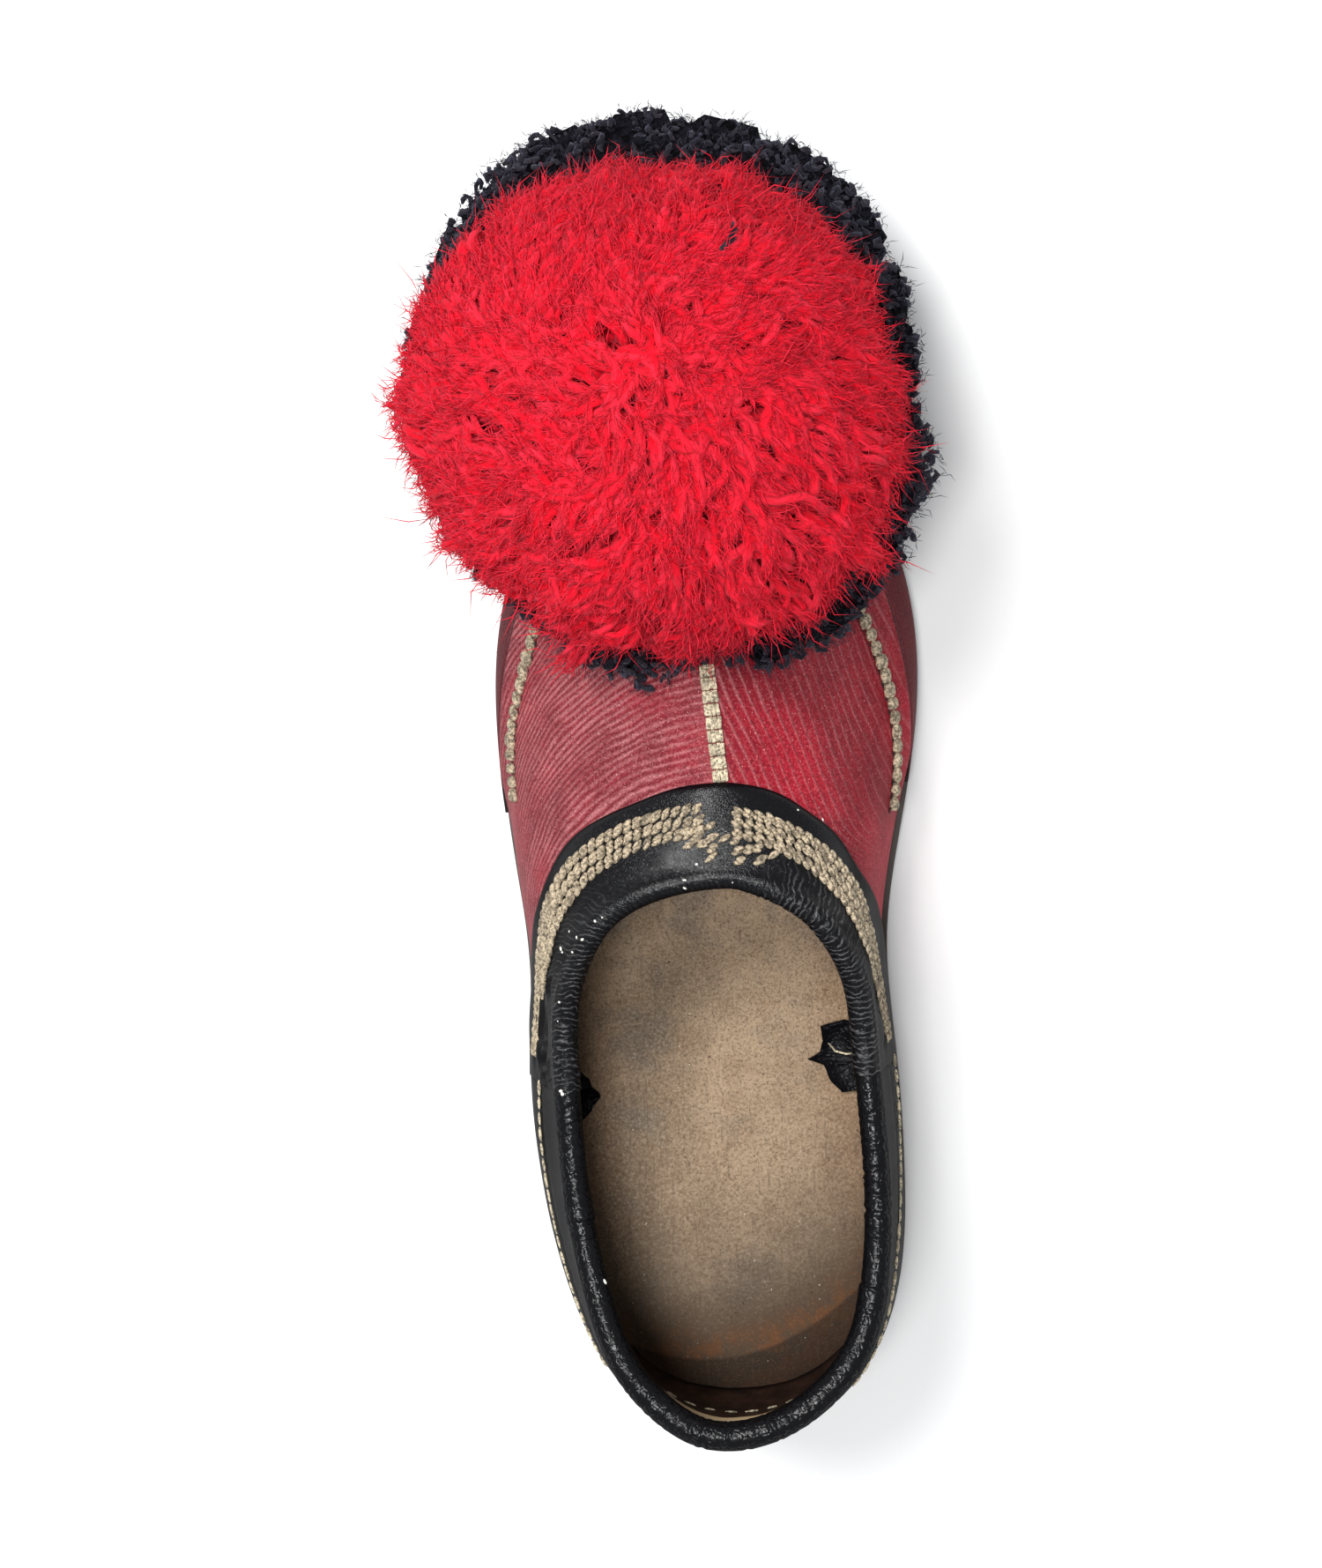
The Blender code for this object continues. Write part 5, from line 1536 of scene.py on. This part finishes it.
def red_lock_paths(count, generator):
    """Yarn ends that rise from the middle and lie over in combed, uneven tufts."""
    direction, lift = dome_spots(count, generator)
    outwards, flow = combed(direction, lift)
    spot = dome(direction, lift, np.ones(count))
    tufts = 230
    clump_direction, clump_lift = dome_spots(tufts, generator)
    clump = dome(clump_direction, clump_lift, np.ones(tufts)) + generator.normal(0, 1.2, (tufts, 3))
    nearest = np.argmin(((spot[:, None] - clump[None]) ** 2).sum(axis=2), axis=1)
    middle = np.hypot(spot[:, 0] - 3.0, spot[:, 1] - 2.0)
    stray = generator.normal(0, 1.0, count) * (0.22 + 1.3 * np.exp(-((middle / 9.0) ** 2)))
    flow = turned_about(flow, outwards, 0.42 * drift(spot, 26.0, 5) + generator.normal(0, 0.16, tufts)[nearest] + stray)
    run = generator.uniform(8.0, 15.0, count)
    base = dome(direction, lift, np.full(count, 0.86)) - flow * (run * 0.55)[:, None]
    rise = 6.0 + 1.3 * generator.normal(0, 1.0, tufts)[nearest] + generator.normal(0, 0.9, count)
    bend = 1.5 * drift(spot, 18.0, 6) + generator.normal(0, 1.1, count)
    side = np.cross(outwards, flow)
    t = np.linspace(0, 1, LOCK_POINTS)
    path = (base[:, None] + outwards[:, None] * (rise[:, None] * np.sin(t * 0.5 * np.pi * 1.25)[None])[:, :, None]
            + flow[:, None] * (run[:, None] * (t**1.15)[None])[:, :, None]
            + side[:, None] * (bend[:, None] * np.sin(t * 3.6)[None])[:, :, None])
    pull = (clump[nearest] + flow * 3.0 - path[:, -1]) * (0.34 + 0.25 * np.exp(-((lift / 0.4) ** 2)))[:, None]
    path += pull[:, None] * (t**2)[None, :, None]
    uneven = generator.normal(0, 1.0, tufts)[nearest] * (0.02 + 0.065 * np.exp(-((clump_lift[nearest] / 0.45) ** 2)))
    path = kept_in(path, 0.965 + uneven[:, None])
    turn = np.degrees(direction) % 360.0
    reach = np.zeros(count)
    for middle, far, width in RED_TUFTS:
        away = (turn - middle + 180.0) % 360.0 - 180.0
        reach += far * np.exp(-((away / width) ** 2)) * np.exp(-((lift / 0.35) ** 2))
    path[..., :2] *= 1.0 + (reach[:, None] * (t**1.5)[None])[:, :, None]
    return path, outwards, t


def kept_in(path, most):
    """Points drawn back where they pass the outline of the dome, so that its edge keeps its shape."""
    height = path[..., 2] - FLATTENED * RED_HEIGHT
    table = np.array(RED_OUTLINE)
    turn = np.degrees(np.arctan2(path[..., 1], path[..., 0])) % 360.0
    radius = np.interp(turn, table[:, 0], table[:, 1], period=360.0)
    reach = np.sqrt((path[..., 0] ** 2 + path[..., 1] ** 2) / radius**2 + (height / RED_TOP) ** 2)
    pull = np.where(reach > most, (most + 0.3 * (reach - most)) / reach, 1.0)
    kept = np.stack([path[..., 0] * pull, path[..., 1] * pull, height * pull + FLATTENED * RED_HEIGHT], axis=-1)
    kept[..., 2] = np.maximum(kept[..., 2], -2.5 + 1.5 * np.sin(kept[..., 0] * 0.3))
    return kept


def red_ropes(count, generator):
    """The longer yarns that show whole on the dome: S-bends and a few loops, lying on the rest."""
    direction, lift = dome_spots(count, generator, 0.15)
    near_direction, near_lift = dome_spots(MIDDLE_ROPES, generator, 0.92)
    direction, lift = np.concatenate([direction, near_direction]), np.concatenate([lift, near_lift])
    count = len(lift)
    outwards, flow = combed(direction, lift)
    spot = dome(direction, lift, np.ones(count))
    middle = np.hypot(spot[:, 0] - 3.0, spot[:, 1] - 2.0)
    loose = 0.3 + 1.6 * np.exp(-((middle / 16.0) ** 2))
    flow = turned_about(flow, outwards, 0.45 * drift(spot, 26.0, 5) + generator.normal(0, 1.0, count) * loose)
    side = np.cross(outwards, flow)
    t = np.linspace(-0.5, 0.5, 10)
    run = generator.uniform(13.0, 24.0, count)[:, None]
    bow = generator.normal(0, 3.4, (count, 1))
    path = (spot[:, None] + flow[:, None] * (run * t[None])[:, :, None]
            + side[:, None] * (bow * np.cos(t * 2.6)[None] + 1.2 * np.sin(t * 9.0 + bow))[:, :, None])
    height = path[..., 2] - FLATTENED * RED_HEIGHT
    table = np.array(RED_OUTLINE)
    turn = np.degrees(np.arctan2(path[..., 1], path[..., 0])) % 360.0
    radius = np.interp(turn, table[:, 0], table[:, 1], period=360.0)
    reach = np.sqrt((path[..., 0] ** 2 + path[..., 1] ** 2) / radius**2 + (height / RED_TOP) ** 2)
    sunk = 0.972 - 0.06 * (2 * np.abs(t)) ** 3
    pull = (sunk[None] / reach)[..., None]
    middle = np.array((0.0, 0.0, FLATTENED * RED_HEIGHT))
    return (path - middle) * pull + middle, outwards


def strands_from(path, outwards, count, generator, length, stand, loose):
    """Fine fibres that leave the yarns and run on nearly along them: three points each."""
    chosen = generator.integers(0, len(path), count)
    last = path.shape[1] - 1
    at = generator.uniform(0.1, 1.0, count) * last
    low = np.clip(at.astype(int), 0, last - 1)
    part = (at - low)[:, None]
    start = path[chosen, low] * (1 - part) + path[chosen, low + 1] * part
    heading = path[chosen, low + 1] - path[chosen, low]
    heading /= np.linalg.norm(heading, axis=1, keepdims=True) + 1e-9
    up = outwards[chosen]
    start += up * generator.uniform(0.3, 1.1, (count, 1))
    first = heading + generator.normal(0, loose, (count, 3)) + up * generator.uniform(0.0, stand, (count, 1))
    first /= np.linalg.norm(first, axis=1, keepdims=True)
    second = first + generator.normal(0, loose, (count, 3)) - up * generator.uniform(-0.1, 0.35, (count, 1))
    second /= np.linalg.norm(second, axis=1, keepdims=True)
    size = (generator.gamma(5.0, 0.2, count) * length)[:, None]
    middle = start + first * size * 0.5
    return np.stack([start, middle, middle + second * size * 0.5], axis=1), up


def red_wool_pieces():
    generator = np.random.default_rng(21)
    locks, strands, length = size_of("yarn_ends"), size_of("red_fibres"), size_of("fibre_length")
    path, outwards, t = red_lock_paths(locks, generator)
    lump = 1.0 + 0.10 * np.sin(t[None] * 16.0 + generator.uniform(0, 6, (locks, 1)))
    shape = np.interp(t, (0.0, 0.2, 0.7, 0.9, 1.0), (0.9, 1.0, 0.95, 0.75, 0.35))
    radii = generator.uniform(0.85, 1.35, (locks, 1)) * shape[None] * lump
    pieces = [tubes("red_locks", pompom_to_shoe(path), radii, 5, outwards, tone=generator.uniform(0, 1, locks))]
    rope, rope_up = red_ropes(size_of("long_yarns"), generator)
    thick = generator.uniform(0.95, 1.35, (len(rope), 1)) * np.array([0.5] + [1.0] * 8 + [0.4])[None]
    pieces.append(tubes("red_ropes", pompom_to_shoe(rope), thick, 5, rope_up, tone=generator.uniform(0.1, 0.8, len(rope))))
    for number, (part, stand, loose) in enumerate(((1.0, 0.18, 0.38), (0.72, 0.30, 0.48))):
        strand, up = strands_from(path, outwards, strands, generator, part * length, stand, loose)
        if number:
            on_ropes, rope_ups = strands_from(rope, rope_up, 7500, generator, 3.2, 0.25, 0.35)
            stray, stray_up = strands_from(path, outwards, 200, generator, 9.0, 0.7, 0.6)
            strand, up = np.concatenate([strand, on_ropes, stray]), np.concatenate([up, rope_ups, stray_up])
        inside = np.abs(pompom_to_shoe(strand)[..., 0]).max(axis=1) < 66.0
        strand, up = strand[inside], up[inside]
        count = len(strand)
        pieces.append(spindles(f"red_fibres_{number + 1}", pompom_to_shoe(strand), generator.uniform(0.09, 0.17, count),
                               up, tone=generator.uniform(0.0, 1.0, count)))
    return pieces


def caught_yarn_piece():
    """A short end of black yarn caught in the red wool."""
    flat = np.array(((20.1, 265.2), (20.3, 262.8), (19.8, 260.3), (18.9, 258.9), (17.6, 258.0))) - POMPOM_CENTRE[:2]
    rise = RED_TOP * np.sqrt(1.0 - (flat**2).sum(axis=1) / 53.0**2) + FLATTENED * RED_HEIGHT + 0.3
    path = np.concatenate([flat, rise[:, None]], axis=1)[None]
    radii = np.array(((0.5, 0.9, 1.0, 0.9, 0.5),))
    return tubes("caught_yarn", pompom_to_shoe(path), radii, 6, np.array(((0.0, 0.0, 1.0),)), tone=np.zeros(1))


def red_core_piece():
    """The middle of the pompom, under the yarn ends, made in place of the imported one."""
    bpy.ops.object.select_all(action="DESELECT")
    bpy.ops.mesh.primitive_uv_sphere_add(segments=48, ring_count=24, radius=1.0)
    made = bpy.context.object
    made.name = made.data.name = "red_core"
    in_edit_mode(made)
    bpy.ops.mesh.select_all(action="SELECT")
    bpy.ops.mesh.bisect(plane_co=(0.0, 0.0, -0.22), plane_no=(0.0, 0.0, -1.0), use_fill=True, clear_outer=True)
    bpy.ops.object.mode_set(mode="OBJECT")
    points = np.array([vert.co for vert in made.data.vertices])
    lift = np.arcsin(np.clip(points[:, 2] / np.linalg.norm(points, axis=1), -1, 1))
    direction = np.arctan2(points[:, 1], points[:, 0])
    size = np.linalg.norm(points, axis=1)
    placed = (pompom_to_shoe(dome(direction, lift, 0.86 * size)) - ORIGIN) * MM
    for vert, place in zip(made.data.vertices, placed):
        vert.co = place
    made.data.shade_smooth()
    return made


def tree_of(*names):
    """Nearest-point search over the meshes of several nodes, in metres."""
    points, faces = [], []
    for name in names:
        mesh = frame["nodes"][name].data
        shift = len(points)
        points += [vert.co.copy() for vert in mesh.vertices]
        faces += [[shift + corner for corner in face.vertices] for face in mesh.polygons]
    return BVHTree.FromPolygons(points, faces)


def surface_spots(mesh, count, generator):
    """Random points on a mesh with their normals, in millimetres of the making coordinates."""
    mesh.calc_loop_triangles()
    points = np.array([vert.co for vert in mesh.vertices]) / MM + ORIGIN
    corners = points[np.array([triangle.vertices for triangle in mesh.loop_triangles])]
    cross = np.cross(corners[:, 1] - corners[:, 0], corners[:, 2] - corners[:, 0])
    area = np.linalg.norm(cross, axis=1)
    chosen = generator.choice(len(area), count, p=area / area.sum())
    one, two = generator.uniform(0, 1, (2, count, 1))
    flip = (one + two) > 1
    one, two = np.where(flip, 1 - one, one), np.where(flip, 1 - two, two)
    some = corners[chosen]
    spots = some[:, 0] + one * (some[:, 1] - some[:, 0]) + two * (some[:, 2] - some[:, 0])
    return spots, cross[chosen] / (area[chosen][:, None] + 1e-12)


def spread(spots, normals, least):
    """Spots thinned so that none are closer than the least distance."""
    kept = {}
    chosen = []
    for number, spot in enumerate(spots):
        cell = tuple(np.floor(spot / least).astype(int))
        near = [kept.get((cell[0] + i, cell[1] + j, cell[2] + k)) for i in (-1, 0, 1) for j in (-1, 0, 1) for k in (-1, 0, 1)]
        if any(other is not None and np.linalg.norm(spots[other] - spot) < least for other in near):
            continue
        kept[cell] = number
        chosen.append(number)
    return spots[chosen], normals[chosen]


def black_wool_pieces():
    generator = np.random.default_rng(33)
    node = frame["nodes"]["pompom_black"]
    core = bpy.data.objects.new("black_core", node.data.copy())
    bpy.context.scene.collection.objects.link(core)
    core.data.materials.clear()
    core.data.shade_smooth()
    spots, normals = surface_spots(node.data, 14000, generator)
    away = spots[:, :2] - np.array(POMPOM_CENTRE[:2])
    turn = np.degrees(np.arctan2(away[:, 1], away[:, 0])) % 360.0
    near = sum(np.exp(-((((turn - middle + 180.0) % 360.0 - 180.0) / width) ** 2)) * far for middle, far, width in BLACK_LUMPS)
    moved = spots + np.concatenate([away / np.linalg.norm(away, axis=1, keepdims=True), np.full((len(away), 1), 0.3)], axis=1) * near[:, None]
    bulging = near > 1.0
    spots, normals = np.concatenate([spots, moved[bulging]]), np.concatenate([normals, normals[bulging]])
    shell = tree_of("upper", "toe_rand", "outsole", "pompom_red")
    clear = np.array([shell.find_nearest(Vector((spot - ORIGIN) * MM))[3] / MM for spot in spots])
    under = normals[:, 2] < generator.uniform(-1.0, -0.4, len(normals))
    from_middle = spots - np.array(POMPOM_CENTRE)
    outside = (from_middle * normals).sum(axis=1) > 0.35 * np.linalg.norm(from_middle, axis=1)
    keep = ((clear > 1.8) | outside) & (spots[:, 2] > 2.0) & ~under
    spots, normals = spread(spots[keep], normals[keep], size_of("curl_spacing"))
    outwards = spots - np.array([POMPOM_CENTRE[0], POMPOM_CENTRE[1], 52.0])
    outwards /= np.linalg.norm(outwards, axis=1, keepdims=True)
    normals = normals * 0.5 + outwards * 0.5
    normals /= np.linalg.norm(normals, axis=1, keepdims=True)
    count = len(spots)
    spots = spots + normals * (0.8 * drift(spots, 11.0, 9))[:, None]
    aside = np.cross(normals, generator.normal(0, 1, (count, 3)))
    aside /= np.linalg.norm(aside, axis=1, keepdims=True)
    other = np.cross(normals, aside) * 0.6 + normals * generator.uniform(0.2, 0.9, (count, 1))
    t = np.linspace(0, 1, 6)
    turns = generator.uniform(0.6, 1.0, (count, 1)) * 2 * np.pi
    radius = generator.uniform(1.0, 1.9, (count, 1)) * (0.7 + 0.3 * np.sin(t * 3.0))[None]
    angle = turns * t[None] + generator.uniform(0, 6.3, (count, 1))
    path = (spots[:, None] + aside[:, None] * (radius * np.cos(angle))[:, :, None]
            + other[:, None] * (radius * np.sin(angle))[:, :, None]
            + normals[:, None] * (0.5 * np.sin(t * 9.0)[None] * generator.normal(0, 1, (count, 1)))[:, :, None])
    radii = generator.uniform(0.55, 0.8, (count, 1)) * np.array([0.6] + [1.0] * 4 + [0.5])[None]
    curls = tubes("black_curls", path, radii, 4, normals, tone=generator.uniform(0, 1, count))
    strands = size_of("black_fibres")
    strand, up = strands_from(path, normals, strands, generator, 2.4, 1.1, 0.8)
    fuzz = spindles("black_fibres", strand, generator.uniform(0.07, 0.13, strands), up, tone=generator.uniform(0, 1, strands))
    return core, curls, fuzz


# Settings, one group for sizes and one for colours

def colour_setting(name, description, default):
    return bpy.props.FloatVectorProperty(name=name, description=description, default=default, size=3,
                                         min=0.0, max=1.0, subtype="COLOR")


def length_setting(name, description, default, least, most):
    """A length, given in millimetres and kept in metres."""
    return bpy.props.FloatProperty(name=name, description=description, default=default * MM, min=least * MM, max=most * MM,
                                   precision=5, subtype="DISTANCE", unit="LENGTH")


def number_setting(name, description, default, most):
    return bpy.props.IntProperty(name=name, description=description, default=default, min=10, max=most, subtype="UNSIGNED")


class TsarouhiSizes(bpy.types.PropertyGroup):
    stitch_pitch: length_setting("Stitch pitch", "Distance from one collar stitch to the next", 2.45, 1.8, 6.0)
    fibre_length: length_setting("Fibre length", "Length of the loose fibres on the red wool", 5.5, 1.0, 12.0)
    curl_spacing: length_setting("Curl spacing", "Distance between the loops of the black wool", 2.15, 1.8, 6.0)
    yarn_ends: number_setting("Yarn ends", "How many yarn ends make the red dome", 2300, 3000)
    long_yarns: number_setting("Long yarns", "How many long yarns lie over the red dome", 140, 400)
    red_fibres: number_setting("Red fibres", "How many loose fibres each layer of the red wool has", 25000, 30000)
    black_fibres: number_setting("Black fibres", "How many loose fibres the black wool has", 19000, 30000)


class TsarouhiColours(bpy.types.PropertyGroup):
    red_leather: colour_setting("Red leather", "Colour of the vamp where it is least worn", (0.335, 0.010, 0.023))
    dull_leather: colour_setting("Dull red leather", "Colour of the vamp between its rubbed lines", (0.185, 0.034, 0.042))
    rubbed_leather: colour_setting("Rubbed red leather", "Colour of the vamp on its rubbed lines", (0.560, 0.205, 0.215))
    black_leather: colour_setting("Black leather", "Colour of the collar, its rolled edge and the tabs", (0.0048, 0.0050, 0.0062))
    sole_leather: colour_setting("Sole leather", "Colour of the outsole and the heel", (0.031, 0.024, 0.018))
    insole: colour_setting("Insole", "Colour of the leather insole where it is palest", (0.368, 0.264, 0.172))
    lining: colour_setting("Lining", "Colour of the lining round the heel", (0.040, 0.018, 0.011))
    thread: colour_setting("Thread", "Colour of the collar and side stitches", (0.600, 0.490, 0.340))
    pale_thread: colour_setting("Pale thread", "Colour of the centre strip and the back stitches", (0.740, 0.640, 0.450))
    red_wool: colour_setting("Red wool", "Colour of the red wool", (0.740, 0.006, 0.021))
    black_wool: colour_setting("Black wool", "Colour of the black wool", (0.0105, 0.0105, 0.0155))
    floor: colour_setting("Floor", "Colour of the pale floor", (0.86, 0.86, 0.86))


class TSAROUHI_OT_soles(bpy.types.Operator):
    """Outsole, heel lifts and the leather insole"""
    bl_idname = "tsarouhi.soles"
    bl_label = "Soles"

    def execute(self, context):
        leather = finish_once("sole leather", sole_leather)
        outsole = dressed(board("sole", foot_outline(SOLE_EDGE), sole_bottom, sole_top, 6.0, 0.9), leather)
        settle(outsole, "sole_leather", "outsole")
        for level, node in enumerate(("heel_top_piece", "heel_lift")):
            low = level * (HEEL_LIFT + GAP)
            made = board(node + "_leather", foot_outline(SOLE_EDGE - LIFT_TAPER * (2 - level)),
                         lambda y: low, lambda y: low + HEEL_LIFT, 9.0, 0.6, HEEL_BREAST)
            settle(dressed(made, leather), "sole_leather", node)
        insole = board("insole_leather", foot_outline(-WALL - INSOLE_EASE), lambda y: sole_top(y) + GAP, insole_top,
                       6.0, 0.5, INSOLE_END)
        settle(dressed(insole, finish_once("insole leather", insole_leather)), "insole_board", "insole")
        return {"FINISHED"}


class TSAROUHI_OT_vamp(bpy.types.Operator):
    """Red vamp with its lining, and the rand along its edge"""
    bl_idname = "tsarouhi.vamp"
    bl_label = "Vamp and rand"

    def execute(self, context):
        made = vamp_piece()
        dressed(made, finish_once("vamp leather", vamp_leather), finish_once("lining leather", lining_leather))
        settle(made, "red_leather", "upper")
        settle(dressed(heel_lining_piece(), finish_once("lining leather", lining_leather)), "insole_board", "upper")
        rand = finish_once("rand leather", lambda name: vamp_leather(name, 0.68))
        settle(dressed(rand_piece(), rand), "red_leather", "toe_rand")
        return {"FINISHED"}


class TSAROUHI_OT_collar(bpy.types.Operator):
    """Black collar bands, the quarter below them, and the rolled edge"""
    bl_idname = "tsarouhi.collar"
    bl_label = "Collar"

    def execute(self, context):
        black = finish_once("black leather", black_leather)
        settle(dressed(back_band_piece(), black), "black_leather", "collar_band_back")
        settle(dressed(quarter_piece(), black), "black_leather", "quarter")
        wrinkled_black = finish_once("wrinkled black leather", lambda name: black_leather(name, wrinkles=True))
        settle(dressed(front_band_piece(), wrinkled_black), "black_leather", "collar_band_front", "collar_binding")
        pebbled = finish_once("pebbled black leather", lambda name: black_leather(name, 0.62, 0.11, 0.55))
        settle(dressed(binding_piece(), pebbled), "black_leather", "collar_binding")
        return {"FINISHED"}


class TSAROUHI_OT_pompom(bpy.types.Operator):
    """Red wool dome over a ring of black looped wool"""
    bl_idname = "tsarouhi.pompom"
    bl_label = "Pompom"

    def execute(self, context):
        # The red wool's pale pink tip colour is partly painted highlight.
        red = finish_once("red wool", lambda name: wool(name, "red_wool", (0.84, 0.042, 0.085), 0.12, (1.0, 0.35, 0.4)))
        packed_red = finish_once("packed red wool", lambda name: shaded_packed_wool(name, "red_wool"))
        settle(dressed(red_core_piece(), packed_red), "red_wool", "pompom_red")
        for piece in red_wool_pieces():
            settle(dressed(piece, red), "red_wool", "pompom_red")
        # The black wool's paler tips are partly pinkish-brown bits and partly painted highlight.
        black = finish_once("black wool", lambda name: wool(name, "black_wool", (0.040, 0.034, 0.041), 0.25, (0.5, 0.5, 0.7)))
        packed_black = finish_once("packed black wool", lambda name: shaded_packed_wool(name, "black_wool"))
        core, *loose = black_wool_pieces()
        settle(dressed(core, packed_black), "black_wool", "pompom_black")
        for piece in loose:
            settle(dressed(piece, black), "black_wool", "pompom_black")
        settle(dressed(caught_yarn_piece(), black), "black_wool")
        return {"FINISHED"}


class TSAROUHI_OT_stage(bpy.types.Operator):
    """Pale floor, soft light, and the camera over the shoe"""
    bl_idname = "tsarouhi.stage"
    bl_label = "Stage"

    def execute(self, context):
        bpy.ops.object.select_all(action="DESELECT")
        bpy.ops.mesh.primitive_plane_add(size=6.0, location=(0.0, 0.0, 0.0))
        floor = context.object
        floor.name = "floor"
        finish = Finish("floor", tuple(context.scene.tsarouhi_colours.floor), 0.9)
        floor.data.materials.append(finish.material)
        world = bpy.data.worlds.new("studio")
        world.use_nodes = True
        world.node_tree.nodes["Background"].inputs["Color"].default_value = (0.95, 0.97, 1.0, 1.0)
        world.node_tree.nodes["Background"].inputs["Strength"].default_value = 0.40
        context.scene.world = world
        context.scene.view_settings.view_transform = "Standard"
        for place, size, power in (((-0.45, 0.5, 1.5), 0.6, 17.5), ((-0.05, -0.15, 1.5), 0.45, 15.0)):
            bpy.ops.object.light_add(type="AREA", location=place)
            light = context.object
            light.data.shape = "DISK"
            light.data.size = size
            light.data.energy = power
            light.rotation_euler = (Vector((0.0, 0.0, 0.04)) - Vector(place)).to_track_quat("-Z", "Y").to_euler()
        bpy.ops.object.camera_add()
        camera = context.object
        camera.data.sensor_fit = "VERTICAL"
        camera.data.sensor_height = 36.0
        camera.data.sensor_width = 36.0
        camera.data.lens = CAMERA_LENS
        eye, aim = Vector(CAMERA_EYE) * MM, Vector(CAMERA_AIM) * MM
        ahead = (aim - eye).normalized()
        right = ahead.cross(Vector(CAMERA_UP)).normalized()
        up = right.cross(ahead)
        turn = Matrix((right, up, -ahead)).transposed().to_4x4()
        camera.matrix_world = Matrix.Translation(eye) @ turn
        context.scene.camera = camera
        return {"FINISHED"}


CAMERA_EYE = (57.84, 0.72, 650.0)
CAMERA_AIM = (-7.4, 0.2, 40.0)
CAMERA_UP = (0.0663, 0.9978, 0.0)
CAMERA_LENS = 60.2


class TSAROUHI_PT_panel(bpy.types.Panel):
    bl_label = "Tsarouhi shoe"
    bl_space_type = "VIEW_3D"
    bl_region_type = "UI"
    bl_category = "Tsarouhi"

    def draw(self, context):
        for group in (context.scene.tsarouhi_sizes, context.scene.tsarouhi_colours):
            for name in group.__annotations__:
                self.layout.prop(group, name)
        for name in STEPS:
            self.layout.operator("tsarouhi." + name)


STEPS = ("soles", "vamp", "collar", "stitches", "pompom", "stage")
CLASSES = (TsarouhiSizes, TsarouhiColours, TSAROUHI_OT_soles, TSAROUHI_OT_vamp, TSAROUHI_OT_collar,
           TSAROUHI_OT_stitches, TSAROUHI_OT_pompom, TSAROUHI_OT_stage, TSAROUHI_PT_panel)


def register():
    for item in CLASSES:
        bpy.utils.register_class(item)
    bpy.types.Scene.tsarouhi_sizes = bpy.props.PointerProperty(type=TsarouhiSizes)
    bpy.types.Scene.tsarouhi_colours = bpy.props.PointerProperty(type=TsarouhiColours)


def unregister():
    del bpy.types.Scene.tsarouhi_sizes
    del bpy.types.Scene.tsarouhi_colours
    for item in reversed(CLASSES):
        bpy.utils.unregister_class(item)


def main():
    register()
    for name in STEPS:
        getattr(bpy.ops.tsarouhi, name)()


if __name__ == "__main__":
    main()
